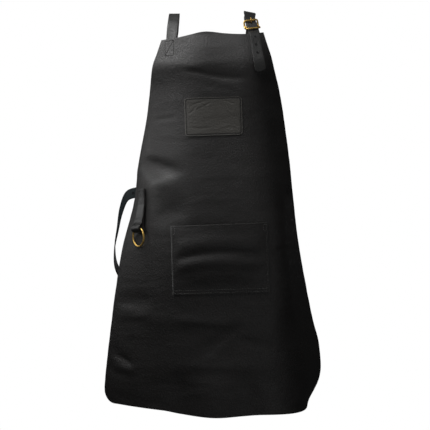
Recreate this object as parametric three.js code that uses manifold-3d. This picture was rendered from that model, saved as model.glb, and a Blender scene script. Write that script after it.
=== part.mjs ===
// Black leather work apron, shaped as it hangs on a wearer.
// An A-line hide panel carries a hollow patch pocket, a plain badge and a tool tab with a brass ring.
// One strap runs from the left bib corner round the neck to a brass buckle at the right bib corner.
// A second strap hangs slack round the back, from the right waist to a plain buckle at the left waist.
//
// Millimetres. +X is the viewer's right, +Y points to the wearer's back and +Z is up.
// The origin is the nape of the neck, where the inside of the neck strap rests.
import * as THREE from "three";
import { mergeVertices } from "three/addons/utils/BufferGeometryUtils.js";
import Module from "manifold-3d";

const wasm = await Module();
wasm.setup();

// Driving dimensions
const GAP = 0.3; // between pieces that are sewn or laid on each other
const SEAM = 0.8; // between the panel and a piece sewn on its front
const HIDE = 2; // wall of the panel
const BIB_TOP = 6; // height of the bib's top edge at its middle, above the nape
const FRONT = -190; // the plane of the panel's foremost point, ahead of the nape
const LEFT_BEND = 1.6; // how late the panel turns back on its way to the left edge
const HEM_CORNER = { left: 38, right: 26 }; // radii of the two lower corners
const PANEL = { columns: 30, rows: 42 };

const STRAP = { width: 25, thickness: 2.4, endRadius: 6, holeRadius: 2, holePitch: 20 };
const TAB = { thickness: 1.6, subdivisions: 2 };
const TAB_ROOM = { neck: 1.5, tool: 1.1, waist: 0.3 }; // between the two layers of a folded tab

const POCKET = { across: 15.6, drop: 514, width: 218, height: 157, wall: 1.8, belly: 14, lean: 0.032 };
const BADGE = { across: 1, drop: 191, width: 130, height: 87, wall: 1.4, corner: 8, lean: 0.03 };

const BUCKLE = { width: 37, length: 28, wire: 2.1, bar: 1.3, arch: 8.3, tongue: 0.9, squareness: 8 };
const RING = { outer: 47, wire: 2.1, segments: 28, turn: 12, hang: -18 };
const TOOL_LOOP = 8; // middle radius of the fold that the ring hangs in

// How the panel lies, by drop below the bib's top edge: the flat reach to each side edge, how far its
// middle lies behind the foremost plane, and the sideways rise.
const SECTIONS = [
  { drop: 0, left: 121, right: 116.3, front: 30, rise: 0.058 },
  { drop: 36, left: 133, right: 129.3, front: 17, rise: 0.05 },
  { drop: 74, left: 147, right: 151.2, front: 8, rise: 0.04 },
  { drop: 120, left: 162, right: 175.2, front: 11, rise: 0.03 },
  { drop: 180, left: 178, right: 197.5, front: 14, rise: 0.028 },
  { drop: 290, left: 205, right: 226.2, front: 8, rise: 0.034 },
  { drop: 370, left: 220, right: 248.6, front: 3, rise: 0.04 },
  { drop: 480, left: 242, right: 276, front: 0, rise: 0.038 },
  { drop: 600, left: 256, right: 304, front: 3, rise: 0.03 },
  { drop: 670, left: 263, right: 316, front: 5, rise: 0.013 },
  { drop: 725, left: 268, right: 324.5, front: 6, rise: 0 },
  { drop: 800, left: 275, right: 328.5, front: 5, rise: -0.015 },
  { drop: 871, left: 278, right: 322, front: 4, rise: -0.03 },
];

// How the panel turns back, by drop: the angle at each side edge, and the shares of the right reach from
// and to which the right side turns.
const BENDS = [
  { drop: 0, left: 28, right: 16, from: 0.3, to: 1 },
  { drop: 36, left: 30, right: 26, from: 0.36, to: 1 },
  { drop: 74, left: 37, right: 46, from: 0.4, to: 0.92 },
  { drop: 120, left: 52, right: 47, from: 0.3, to: 0.76 },
  { drop: 180, left: 62, right: 52, from: 0.22, to: 0.78 },
  { drop: 290, left: 65, right: 60, from: 0.22, to: 0.82 },
  { drop: 370, left: 69, right: 66, from: 0.26, to: 0.8 },
  { drop: 480, left: 60, right: 68, from: 0.36, to: 0.7 },
  { drop: 600, left: 53, right: 66, from: 0.36, to: 0.68 },
  { drop: 670, left: 51, right: 63, from: 0.3, to: 0.72 },
  { drop: 725, left: 49, right: 60, from: 0.26, to: 0.76 },
  { drop: 800, left: 48, right: 65, from: 0.26, to: 0.83 },
  { drop: 871, left: 47, right: 91, from: 0.34, to: 0.914 },
];
const PANEL_LENGTH = SECTIONS.at(-1).drop;

// How far the bib's wavy top edge lies below its middle's height, by share of the way to a side edge.
const TOP_EDGE = [
  { share: -1, fall: 4.4 },
  { share: -0.7, fall: 3.8 },
  { share: -0.44, fall: -0.4 },
  { share: -0.25, fall: -4.1 },
  { share: -0.13, fall: -4.9 },
  { share: 0, fall: -3.3 },
  { share: 0.23, fall: 1 },
  { share: 0.51, fall: 4.4 },
  { share: 0.71, fall: 4.6 },
  { share: 1, fall: 1.8 },
];

// How far the hem is lifted by the hang of the hide, by share of the way from its middle to an edge.
const HEM_EDGE = [
  { share: -1, lift: 12.5 },
  { share: -0.8, lift: 14.6 },
  { share: -0.42, lift: 11 },
  { share: -0.27, lift: 5 },
  { share: 0, lift: 0 },
  { share: 0.2, lift: 4 },
  { share: 0.36, lift: 9 },
  { share: 0.65, lift: 12 },
  { share: 1, lift: 18 },
];

// The panel's main folds: the middle of each, the slope of its line (positive falls to the right), the
// line's length, its width across and its height, which is negative for a hollow.
const FOLDS = [
  { name: "crest_roll", across: -30, drop: 14, slope: 90, length: 120, width: 44, height: 5 },
  { name: "chest_roll", across: -78, drop: 70, slope: 7, length: 190, width: 17, height: 2.4 },
  { name: "chest_crease", across: -2, drop: 93, slope: 10, length: 165, width: 9, height: -2 },
  { name: "under_chest", across: -110, drop: 120, slope: 0, length: 110, width: 30, height: -1.2 },
  { name: "waist_hollow", across: -124, drop: 301, slope: 14, length: 104, width: 15, height: -4.6 },
  { name: "waist_ridge", across: -126, drop: 344, slope: -5, length: 96, width: 27, height: 4.6 },
  { name: "belly_hollow", across: -100, drop: 405, slope: -20, length: 80, width: 22, height: -2.4 },
  { name: "hip_hollow", across: -190, drop: 602, slope: 4, length: 100, width: 17, height: -2.6 },
  { name: "hip_ridge", across: -184, drop: 634, slope: 3, length: 90, width: 16, height: 2 },
  { name: "skirt_ridge", across: -24, drop: 652, slope: 2, length: 210, width: 17, height: 2.4 },
  { name: "skirt_hollow", across: 15, drop: 694, slope: -35, length: 100, width: 14, height: -2.8 },
  { name: "corner_hollow", across: -224, drop: 738, slope: 33, length: 66, width: 14, height: -2.6 },
  { name: "corner_ridge", across: -212, drop: 766, slope: 20, length: 66, width: 15, height: 2 },
  { name: "low_ridge", across: 14, drop: 754, slope: 0, length: 160, width: 17, height: 2.4 },
  { name: "low_hollow", across: 98, drop: 704, slope: 12, length: 80, width: 17, height: -2.4 },
  { name: "hem_ridge", across: 4, drop: 840, slope: 90, length: 130, width: 44, height: 6 },
  { name: "hem_hollow_right", across: 78, drop: 840, slope: 90, length: 120, width: 32, height: -5 },
  { name: "hem_hollow_left", across: -80, drop: 836, slope: 90, length: 120, width: 36, height: -5 },
];

// The pocket's arched ridges and hollows, by distance from its middle.
const POCKET_FOLDS = [
  { name: "upper_roll", across: 0, drop: -40, slope: 0, length: 250, width: 17, height: 2.4, arch: 16 },
  { name: "hollow", across: 0, drop: -15, slope: 0, length: 250, width: 10, height: -3.2, arch: 21 },
  { name: "lower_roll", across: 0, drop: 3, slope: 0, length: 250, width: 11, height: 0.8, arch: 22 },
  { name: "low_hollow", across: 0, drop: 26, slope: 0, length: 250, width: 14, height: -1.8, arch: 20 },
];

// The neck strap's end that is sewn behind the left bib corner, by its place on the panel.
const NECK_SEWN = [
  { across: -102, drop: 46, standOff: -4.5 },
  { across: -101, drop: 26, standOff: -4.5 },
  { across: -99, drop: 8, standOff: -4.5 },
];

// The neck strap's open run over both shoulders and low across the back, from left to right: where its
// middle lies and which way its outer face looks.
const NECK_RUN = [
  { x: -93.6, y: -134, z: 26, faceX: -0.14, faceY: -0.84, faceZ: 0.5 },
  { x: -91.8, y: -119, z: 46, faceX: -0.1, faceY: -0.78, faceZ: 0.6 },
  { x: -91, y: -102, z: 59, faceX: -0.06, faceY: -0.6, faceZ: 0.78 },
  { x: -91.4, y: -75, z: 67, faceX: 0, faceY: 0, faceZ: 1 },
  { x: -93.5, y: -44, z: 58, faceX: -0.06, faceY: 0.56, faceZ: 0.78 },
  { x: -96, y: -25, z: 38, faceX: -0.16, faceY: 0.84, faceZ: 0.5 },
  { x: -96.5, y: -11, z: 16, faceX: -0.24, faceY: 0.94, faceZ: 0.26 },
  { x: -62, y: -1, z: -2, faceX: -0.12, faceY: 0.98, faceZ: 0.14 },
  { x: 0, y: 1.2, z: 0, faceX: 0, faceY: 1, faceZ: 0.1 },
  { x: 56, y: -1, z: 4, faceX: 0.12, faceY: 0.98, faceZ: 0.14 },
  { x: 87, y: -9, z: 20, faceX: 0.2, faceY: 0.94, faceZ: 0.26 },
  { x: 92, y: -24, z: 42, faceX: 0.2, faceY: 0.84, faceZ: 0.5 },
  { x: 89, y: -44, z: 62, faceX: 0.2, faceY: 0.56, faceZ: 0.78 },
  { x: 85, y: -75, z: 71, faceX: 0.2, faceY: 0, faceZ: 0.98 },
  { x: 87, y: -109, z: 61, faceX: 0.14, faceY: -0.62, faceZ: 0.76 },
];

// A strap's way through a buckle, seen from the side: up along the strap and behind the centre bar.
const BUCKLE_THREAD = [
  { up: 20, back: -2.4 },
  { up: 11.9, back: -3.2 },
  { up: 7, back: -4.4 },
  { up: 3, back: -4.9 },
  { up: -3, back: -4.9 },
  { up: -7, back: -4.6 },
  { up: -11.9, back: -3.8 },
];

// The tongue's way: round the centre bar, out through the strap and on to the upper end bar.
const TONGUE_RUN = [
  { up: -2, back: -1.6 },
  { up: -2.55, back: 0 },
  { up: -1.8, back: 1.8 },
  { up: 0, back: 2.55 },
  { up: 1.8, back: 1.8 },
  { up: 3, back: 0 },
  { up: 4.8, back: -2.8 },
  { up: 7.9, back: -9 },
  { up: 11.9, back: -11.9 },
  { up: 15.2, back: -12.2 },
];

// The neck strap's free end below the buckle, on the front of the bib, and how far it flares to the front.
const NECK_FREE_END = [
  { across: 95, drop: 10, standOff: 4, flare: 0 },
  { across: 97.5, drop: 30, standOff: 3.2, flare: 0.2 },
  { across: 99.7, drop: 48, standOff: 4, flare: 0.4 },
  { across: 102.9, drop: 68, standOff: 5, flare: 0.6 },
  { across: 105.5, drop: 84, standOff: 5.6, flare: 0.6 },
  { across: 106.2, drop: 88, standOff: 5.7, flare: 0.6 },
  { across: 106.6, drop: 90.6, standOff: 5.7, flare: 0.6 },
  { across: 106.8, drop: 91.6, standOff: 5.7, flare: 0.6 },
  { across: 106.9, drop: 92, standOff: 5.7, flare: 0.6 },
];

// The middle lines of the folded tabs, from the sewn end to the fold, by place on the panel.
const NECK_TAB_LINE = [
  { across: 99, drop: 44, standOff: -6 },
  { across: 97.5, drop: 24, standOff: -6.2 },
  { across: 95, drop: 7, standOff: -7 },
];
const NECK_TAB_RISE = [
  { x: 91.2, y: -147.4, z: 16.8, faceX: 0.14, faceY: -0.83, faceZ: 0.52 },
  { x: 88.6, y: -142.9, z: 25.3, faceX: 0.12, faceY: -0.82, faceZ: 0.54 },
];
const TOOL_TAB_LINE = [
  { across: -176, drop: 347, standOff: 3.1 },
  { across: -176, drop: 360, standOff: 3.1 },
  { across: -175.6, drop: 376, standOff: 3.5 },
  { across: -175.2, drop: 392, standOff: 4.8 },
  { across: -174.9, drop: 409, standOff: 7 },
  { across: -174.2, drop: 438, standOff: 11.6 },
];
const WAIST_TAB_LINE = [
  { across: -104, drop: 361, standOff: -4.6 },
  { across: -122, drop: 360.5, standOff: -4.6 },
  { across: -136, drop: 360, standOff: -4.9 },
  { across: -149, drop: 359, standOff: -6.4 },
  { across: -160, drop: 358, standOff: -6.9 },
];

// The waist strap behind the left side: its free end, past the buckle, and out to the panel's edge.
const WAIST_FREE_END = [
  { across: -62, drop: 362, standOff: -12 },
  { across: -62.4, drop: 362, standOff: -12 },
  { across: -63.4, drop: 362, standOff: -12 },
  { across: -66, drop: 362, standOff: -12 },
  { across: -78, drop: 362, standOff: -12 },
  { across: -104, drop: 361.6, standOff: -12.8 },
  { across: -132, drop: 360.6, standOff: -13.4 },
];
const WAIST_EDGE = [
  { across: -194, drop: 353, standOff: -9 },
  { across: -212, drop: 352, standOff: -8.4 },
];

// The slack run of the waist strap, from the left edge down round the back and up to the right edge.
const WAIST_RUN = [
  { x: -203, y: -72, z: -362.5, faceX: -0.86, faceY: -0.5, faceZ: 0.08 },
  { x: -220, y: -48, z: -396, faceX: -0.92, faceY: -0.38, faceZ: 0.04 },
  { x: -230.5, y: -28, z: -442, faceX: -0.98, faceY: -0.18, faceZ: 0 },
  { x: -240, y: -8, z: -492, faceX: -1, faceY: -0.03, faceZ: -0.02 },
  { x: -236, y: 20, z: -541, faceX: -0.97, faceY: 0.2, faceZ: -0.1 },
  { x: -194, y: 54, z: -596, faceX: -0.66, faceY: 0.68, faceZ: -0.3 },
  { x: -122, y: 82, z: -630, faceX: -0.34, faceY: 0.84, faceZ: -0.4 },
  { x: -36, y: 94, z: -638, faceX: -0.1, faceY: 0.88, faceZ: -0.46 },
  { x: 48, y: 92, z: -616, faceX: 0.16, faceY: 0.88, faceZ: -0.44 },
  { x: 122, y: 76, z: -558, faceX: 0.48, faceY: 0.8, faceZ: -0.34 },
  { x: 172, y: 50, z: -478, faceX: 0.8, faceY: 0.56, faceZ: -0.2 },
  { x: 190, y: 20, z: -412, faceX: 0.94, faceY: 0.32, faceZ: -0.08 },
];
const WAIST_SEWN = [
  { across: 238, drop: 372, standOff: -6.5 },
  { across: 222, drop: 364, standOff: -5.4 },
  { across: 206, drop: 360, standOff: -5 },
];

// Materials
const leather = new THREE.MeshStandardMaterial({ color: 0x1b1a19, roughness: 0.52, metalness: 0 });
const strapLeather = new THREE.MeshStandardMaterial({ color: 0x1d1c1b, roughness: 0.46, metalness: 0 });
const badgeLeather = new THREE.MeshStandardMaterial({ color: 0x23201c, roughness: 0.5, metalness: 0 });
const brass = new THREE.MeshStandardMaterial({ color: 0xc89b45, roughness: 0.26, metalness: 1 });

const radians = THREE.MathUtils.degToRad;
const clamp = THREE.MathUtils.clamp;

// The value of one column of a table at a place along it, on a smooth curve through the rows.
function columnAt(table, along, key, at) {
  const last = table.length - 1;
  const place = clamp(at, table[0][along], table[last][along]);
  let i = 0;
  while (i < last - 1 && place > table[i + 1][along]) i += 1;
  const slopeAt = (k) => {
    const before = table[Math.max(k - 1, 0)];
    const after = table[Math.min(k + 1, last)];
    return (after[key] - before[key]) / (after[along] - before[along]);
  };
  const span = table[i + 1][along] - table[i][along];
  const t = (place - table[i][along]) / span;
  const ease = t * t * (3 - 2 * t);
  const startPull = t * (1 - t) * (1 - t) * span * slopeAt(i);
  const endPull = t * t * (t - 1) * span * slopeAt(i + 1);
  return table[i][key] + ease * (table[i + 1][key] - table[i][key]) + startPull + endPull;
}

// How far a table of folds lifts the hide at a place.
function foldLift(folds, across, drop) {
  let lift = 0;
  for (const fold of folds) {
    const slope = radians(fold.slope);
    const dx = across - fold.across;
    const dy = drop - fold.drop;
    const along = (dx * Math.cos(slope) + dy * Math.sin(slope)) / (fold.length / 2);
    const arched = (fold.arch ?? 0) * along * along;
    const aside = (dy * Math.cos(slope) - dx * Math.sin(slope) - arched) / fold.width;
    lift += fold.height * Math.exp(-aside * aside - along ** 4);
  }
  return lift;
}

// A point on the panel's outer face, or standing off from it, by flat distance across and drop.
function onPanel(across, drop, standOff = 0) {
  const row = (key) => columnAt(SECTIONS, "drop", key, drop);
  const bend = (key) => columnAt(BENDS, "drop", key, drop);
  const side = across < 0 ? -1 : 1;
  const hand = across < 0 ? "left" : "right";
  const reach = row(hand);
  const turn = radians(bend(hand));
  const [from, to] = [bend("from"), bend("to")];
  const turned = (share) => (side < 0 ? share ** LEFT_BEND : THREE.MathUtils.smoothstep(share, from, to));
  const headingAt = (run) => turn * turned(run / reach);
  const steps = 16;
  const step = Math.abs(across) / steps;
  let x = 0;
  let depth = 0;
  for (let i = 0; i < steps; i += 1) {
    const heading = headingAt((i + 0.5) * step);
    x += Math.cos(heading) * step;
    depth += Math.sin(heading) * step;
  }
  const heading = headingAt(Math.abs(across));
  const out = standOff + foldLift(FOLDS, across, drop);
  return new THREE.Vector3(
    side * (x + Math.sin(heading) * out),
    FRONT + row("front") + depth - Math.cos(heading) * out,
    BIB_TOP - drop + row("rise") * across,
  );
}

// The panel's own directions at a place: to the right along it, up along it, and out of it.
function panelFrame(across, drop, standOff = 0) {
  const point = onPanel(across, drop, standOff);
  const right = onPanel(across + 1, drop, standOff).sub(onPanel(across - 1, drop, standOff)).normalize();
  const up = onPanel(across, drop - 1, standOff).sub(onPanel(across, drop + 1, standOff));
  const out = right.clone().cross(up).normalize();
  up.copy(out).cross(right);
  return { point, right, up, out };
}

// Takes each corner of a flat blank to its place and closes the blank's skin.
function shapeBlank(blank, place) {
  const corners = blank.getAttribute("position");
  for (let i = 0; i < corners.count; i += 1) {
    const put = place(corners.getX(i), corners.getY(i), corners.getZ(i));
    corners.setXYZ(i, put.x, put.y, put.z);
  }
  blank.deleteAttribute("normal");
  blank.deleteAttribute("uv");
  const shaped = mergeVertices(blank, 1e-3);
  shaped.computeVertexNormals();
  return shaped;
}

// The solid inside a closed geometry, for a join or a cut.
function solidOf(geometry) {
  const bare = geometry.clone();
  bare.deleteAttribute("normal");
  bare.deleteAttribute("uv");
  const merged = mergeVertices(bare, 1e-3);
  return new wasm.Manifold(
    new wasm.Mesh({
      numProp: 3,
      vertProperties: merged.getAttribute("position").array,
      triVerts: new Uint32Array(merged.index.array),
    }),
  );
}

function geometryOf(solid) {
  const mesh = solid.getMesh();
  const geometry = new THREE.BufferGeometry();
  geometry.setAttribute("position", new THREE.BufferAttribute(mesh.vertProperties, 3));
  geometry.setIndex(new THREE.BufferAttribute(mesh.triVerts, 1));
  geometry.computeVertexNormals();
  return geometry;
}

function piece(name, geometry, material) {
  const mesh = new THREE.Mesh(geometry, material);
  mesh.name = name;
  return mesh;
}

// How far a round corner takes a straight edge in, at a distance before the corner's end.
function cornerInset(radius, fromEnd) {
  if (fromEnd >= radius) return 0;
  const back = radius - fromEnd;
  return radius - Math.sqrt(Math.max(radius * radius - back * back, 0));
}

// The hide panel: a blank whose columns end on the hem's round corners, wrapped round the body.
// The columns lie closer together towards the side edges.
function apronPanel() {
  const hem = SECTIONS.at(-1);
  const blank = new THREE.BoxGeometry(2, 1, 1, PANEL.columns, PANEL.rows, 1);
  return shapeBlank(blank, (column, v, face) => {
    const u = column * (1.25 - 0.25 * column * column);
    const side = u < 0 ? "left" : "right";
    const corner = cornerInset(HEM_CORNER[side], hem[side] * (1 - Math.abs(u)));
    const bottom = PANEL_LENGTH - corner - columnAt(HEM_EDGE, "share", "lift", u);
    const top = columnAt(TOP_EDGE, "share", "fall", u);
    const drop = top + (0.5 - v) * (bottom - top);
    const reach = columnAt(SECTIONS, "drop", side, drop);
    return onPanel(u * reach, drop, face < 0 ? -HIDE : 0);
  });
}

// A piece sewn on the panel, whose sides lean a little and whose wall may stand off by its place.
function sewnPiece(size, segments, standOff, halfWidthAt) {
  const blank = new THREE.BoxGeometry(2, size.height, 1, segments.columns, segments.rows, 1);
  return shapeBlank(blank, (u, up, face) => {
    const aside = u * halfWidthAt(up);
    const lift = SEAM + standOff(aside, up);
    return onPanel(size.across + aside - up * size.lean, size.drop - up, face < 0 ? lift : lift + size.wall);
  });
}

// How far the pocket's wall stands off the panel: nothing at its three seams, most near its mouth.
function pocketBelly(aside, up) {
  const toSide = 1 - Math.abs(aside) / (POCKET.width / 2);
  const toBottom = up / POCKET.height + 0.5;
  const swell = 1 - (1 - toSide) ** 2.4;
  const folds = THREE.MathUtils.smoothstep(toSide, 0.02, 0.24) * foldLift(POCKET_FOLDS, aside, -up);
  return THREE.MathUtils.smoothstep(toBottom, 0.03, 0.46) * (swell * POCKET.belly + folds);
}

function pocket() {
  return sewnPiece(POCKET, { columns: 16, rows: 10 }, pocketBelly, () => POCKET.width / 2);
}

function badge() {
  const halfWidthAt = (up) => BADGE.width / 2 - cornerInset(BADGE.corner, BADGE.height / 2 - Math.abs(up));
  return sewnPiece(BADGE, { columns: 6, rows: 12 }, () => 0, halfWidthAt);
}

// One row of a strap's route: a point of its middle line and the way that its outer face looks.
const routeRow = (point, out) => ({ point, out });
const openRow = (row) =>
  routeRow(new THREE.Vector3(row.x, row.y, row.z), new THREE.Vector3(row.faceX, row.faceY, row.faceZ));

// A row that lies along the panel, with its outer face to the panel's front or to its back.
function panelRow(row, standOff, facing = 1) {
  const { point, out } = panelFrame(row.across, row.drop, standOff);
  return routeRow(point, out.multiplyScalar(facing));
}

// A smooth route through rows, by share of the way through its list of rows.
function strapRoute(rows) {
  const line = new THREE.CatmullRomCurve3(rows.map((row) => row.point));
  const faces = new THREE.CatmullRomCurve3(rows.map((row) => row.out));
  line.arcLengthDivisions = 40 * rows.length;
  const lengths = line.getLengths();
  const length = lengths.at(-1);
  const at = (share) => {
    const point = line.getPoint(share);
    const along = line.getTangent(share);
    const look = faces.getPoint(share);
    const out = look.addScaledVector(along, -look.dot(along)).normalize();
    return { point, along, out, aside: along.clone().cross(out) };
  };
  const distanceAt = (share) => {
    const step = share * (lengths.length - 1);
    const below = Math.min(Math.floor(step), lengths.length - 2);
    return lengths[below] + (step - below) * (lengths[below + 1] - lengths[below]);
  };
  const atDistance = (distance) => at(line.getUtoTmapping(distance / length));
  const shareOfRow = (index) => index / (rows.length - 1);
  return { rows, length, at, atDistance, distanceAt, shareOfRow };
}

// A strap bent along its route, with round corners where an end is free.
function strap(route, thickness, subdivisions, free = { start: false, end: false }) {
  const steps = (route.rows.length - 1) * subdivisions;
  const blank = new THREE.BoxGeometry(2, 1, 1, 1, steps, 1);
  return shapeBlank(blank, (u, v, face) => {
    const { point, aside, out } = route.at(v + 0.5);
    const distance = route.distanceAt(v + 0.5);
    const startInset = free.start ? cornerInset(STRAP.endRadius, distance) : 0;
    const endInset = free.end ? cornerInset(STRAP.endRadius, route.length - distance) : 0;
    return point
      .addScaledVector(aside, u * (STRAP.width / 2 - startInset - endInset))
      .addScaledVector(out, Math.sign(face) * (thickness / 2));
  });
}

// A round or long punch through a strap, at a distance along its route.
function punch(route, distance, halfLength = STRAP.holeRadius) {
  const { point, along, out, aside } = route.atDistance(distance);
  const tool = new THREE.CylinderGeometry(STRAP.holeRadius, STRAP.holeRadius, 3 * STRAP.thickness, 10);
  tool.scale(1, 1, halfLength / STRAP.holeRadius);
  tool.applyMatrix4(new THREE.Matrix4().makeBasis(aside, out, along.clone().negate()).setPosition(point));
  return solidOf(tool);
}

function cutAway(geometry, tools) {
  let solid = solidOf(geometry);
  for (const tool of tools) solid = solid.subtract(tool);
  return geometryOf(solid);
}

// A strap folded back on itself: out along a middle line, round a fold at its end, and back.
function foldedRoute(lineRows, foldRadius, room) {
  const layer = (TAB.thickness + room) / 2;
  const end = lineRows.at(-1);
  const along = end.point.clone().sub(lineRows.at(-2).point).normalize();
  const out = end.out.clone().addScaledVector(along, -end.out.dot(along)).normalize();
  const beside = (row, side) =>
    routeRow(row.point.clone().addScaledVector(row.out, side * layer), row.out.clone().multiplyScalar(side));
  const foldRow = (degrees) => {
    const look = along.clone().multiplyScalar(Math.cos(radians(degrees)));
    look.addScaledVector(out, Math.sin(radians(degrees)));
    return routeRow(end.point.clone().addScaledVector(look, foldRadius), look);
  };
  const neck = (side) => {
    const point = end.point.clone().addScaledVector(along, -1.5 * foldRadius);
    point.addScaledVector(out, side * (layer + 0.22 * foldRadius));
    return routeRow(point, out.clone().multiplyScalar(side));
  };
  const sewn = lineRows.slice(0, -1);
  const fold = [115, 75, 38, 0, -38, -75, -115].map(foldRow);
  const outward = sewn.map((row) => beside(row, 1));
  const inward = sewn.map((row) => beside(row, -1)).reverse();
  return strapRoute([...outward, neck(1), ...fold, neck(-1), ...inward]);
}

// Where a folded tab ends: the middle of its fold, and the ways across it, away from it and out of it.
function foldPlace(lineRows) {
  const end = lineRows.at(-1);
  const up = end.point.clone().sub(lineRows.at(-2).point).normalize();
  const out = end.out.clone().addScaledVector(up, -end.out.dot(up)).normalize();
  return { point: end.point, up, out, right: up.clone().cross(out) };
}

const inPlace = (place, aside, back, up) =>
  place.point
    .clone()
    .addScaledVector(place.right, aside)
    .addScaledVector(place.out, -back)
    .addScaledVector(place.up, up);

const placeMatrix = (place) =>
  new THREE.Matrix4().makeBasis(place.right, place.out.clone().negate(), place.up).setPosition(place.point);

// A group that stands at a place, with its own X across, Y to the back and Z up.
function groupAt(place) {
  const group = new THREE.Group();
  group.applyMatrix4(placeMatrix(place));
  return group;
}

// A centre-bar buckle: a rounded frame whose ends arch forward over the strap, joined by a middle bar.
function buckle() {
  const halfWidth = BUCKLE.width / 2 - BUCKLE.wire;
  const halfLength = BUCKLE.length / 2 - BUCKLE.wire;
  const rounded = (value) =>
    Math.abs(value) < 1e-6 ? 0 : Math.sign(value) * Math.abs(value) ** (2 / BUCKLE.squareness);
  const line = (angle) =>
    new THREE.Vector3(halfWidth * rounded(Math.cos(angle)), 0, halfLength * rounded(Math.sin(angle)));
  const blank = new THREE.TorusGeometry(BUCKLE.length, BUCKLE.wire, 6, 40);
  const frame = shapeBlank(blank, (x, y, z) => {
    const angle = Math.atan2(y, x);
    const middle = line(angle);
    const along = line(angle + 0.02).sub(line(angle - 0.02)).normalize();
    const sideways = new THREE.Vector3(along.z, 0, -along.x);
    const arch = -BUCKLE.arch * (middle.z / halfLength) ** 2;
    middle.addScaledVector(sideways, Math.hypot(x, y) - BUCKLE.length);
    return middle.setY(arch - z);
  });
  const bar = new THREE.CylinderGeometry(BUCKLE.bar, BUCKLE.bar, 2 * halfWidth, 10);
  bar.rotateZ(Math.PI / 2);
  return geometryOf(solidOf(frame).add(solidOf(bar)));
}

// The buckle's tongue: a round pin bent round the centre bar.
function buckleTongue() {
  const run = new THREE.CatmullRomCurve3(TONGUE_RUN.map((row) => new THREE.Vector3(0, row.back, row.up)));
  const section = new THREE.Shape().absarc(0, 0, BUCKLE.tongue, 0, 2 * Math.PI);
  const sweep = { steps: 24, curveSegments: 4, extrudePath: run, bevelEnabled: false };
  return new THREE.ExtrudeGeometry(section, sweep);
}

const sewnRow = (row) => panelRow(row, row.standOff);
const flaredRow = (row) => {
  const { point, out } = sewnRow(row);
  return routeRow(point, out.lerp(new THREE.Vector3(0, -1, 0), row.flare));
};
const threadRow = (place, facing) => (row) =>
  routeRow(inPlace(place, 0, row.back, row.up), place.out.clone().multiplyScalar(facing));
const barFold = BUCKLE.bar + GAP + TAB.thickness / 2;

// The tab that holds the neck buckle: up behind the bib and over its top edge to the buckle's bar.
const neckTabRows = [...NECK_TAB_LINE.map(sewnRow), ...NECK_TAB_RISE.map(openRow)];
const neckPlace = foldPlace(neckTabRows);

function neckTab() {
  const slot = new THREE.BoxGeometry(4.4, 9, 13);
  slot.translate(0, 0, -1.5);
  slot.applyMatrix4(placeMatrix(neckPlace));
  const tab = strap(foldedRoute(neckTabRows, barFold, TAB_ROOM.neck), TAB.thickness, TAB.subdivisions);
  return cutAway(tab, [solidOf(slot)]);
}

// The neck strap, from its sewn end round the neck, through the buckle and down the bib.
const neckRoute = strapRoute([
  ...NECK_SEWN.map(sewnRow),
  ...NECK_RUN.map(openRow),
  ...BUCKLE_THREAD.map(threadRow(neckPlace, 1)),
  ...NECK_FREE_END.map(flaredRow),
]);

function neckStrap() {
  const tongueRow = NECK_SEWN.length + NECK_RUN.length + 2;
  const tongueHole = neckRoute.distanceAt(neckRoute.shareOfRow(tongueRow));
  const holes = [punch(neckRoute, tongueHole, 5)];
  for (let i = 1; i <= 4; i += 1) holes.push(punch(neckRoute, tongueHole + 2 + i * STRAP.holePitch));
  return cutAway(strap(neckRoute, STRAP.thickness, 3, { start: false, end: true }), holes);
}

// The tool tab, and the ring that hangs in its fold with the middle of its bend on the fold's middle line.
const toolTabRows = TOOL_TAB_LINE.map(sewnRow);
const toolPlace = foldPlace(toolTabRows);

function toolTab() {
  const route = foldedRoute(toolTabRows, TOOL_LOOP + TAB.thickness / 2, TAB_ROOM.tool);
  return strap(route, TAB.thickness, TAB.subdivisions);
}

function toolRing() {
  const mean = RING.outer / 2 - RING.wire;
  const sag = mean - Math.sqrt(mean * mean - (STRAP.width / 2) ** 2);
  const ring = new THREE.TorusGeometry(mean, RING.wire, 8, RING.segments);
  ring.rotateX(Math.PI / 2);
  ring.translate(0, 0, mean - sag / 2);
  ring.rotateZ(radians(RING.turn));
  ring.rotateX(radians(RING.hang));
  ring.deleteAttribute("uv");
  return mergeVertices(ring, 1e-3);
}

// The waist buckle lies behind the left side, with its outer face and the strap's free end to the body.
const waistTabRows = WAIST_TAB_LINE.map((row) => panelRow(row, row.standOff, -1));
const waistPlace = foldPlace(waistTabRows);
const waistRoute = strapRoute([
  ...WAIST_FREE_END.map(sewnRow),
  ...BUCKLE_THREAD.toReversed().map(threadRow(waistPlace, -1)),
  ...WAIST_EDGE.map(sewnRow),
  ...WAIST_RUN.map(openRow),
  ...WAIST_SEWN.map(sewnRow),
]);

function waistTab() {
  return strap(foldedRoute(waistTabRows, barFold, TAB_ROOM.waist), TAB.thickness, TAB.subdivisions);
}

function waistStrap() {
  const edgeRow = WAIST_FREE_END.length + BUCKLE_THREAD.length + 1;
  const edgeHole = waistRoute.distanceAt(waistRoute.shareOfRow(edgeRow));
  const holes = [];
  for (let i = -4; i <= 1; i += 1) holes.push(punch(waistRoute, edgeHole + i * STRAP.holePitch));
  return cutAway(strap(waistRoute, STRAP.thickness, 2, { start: true, end: false }), holes);
}

const neckGroup = groupAt(neckPlace);
neckGroup.add(piece("neck_buckle", buckle(), brass));
neckGroup.add(piece("neck_buckle_tongue", buckleTongue(), brass));

const toolGroup = groupAt(toolPlace);
toolGroup.add(piece("tool_ring", toolRing(), brass));

const waistGroup = groupAt(waistPlace);
waistGroup.add(piece("waist_buckle", buckle(), brass));

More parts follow.
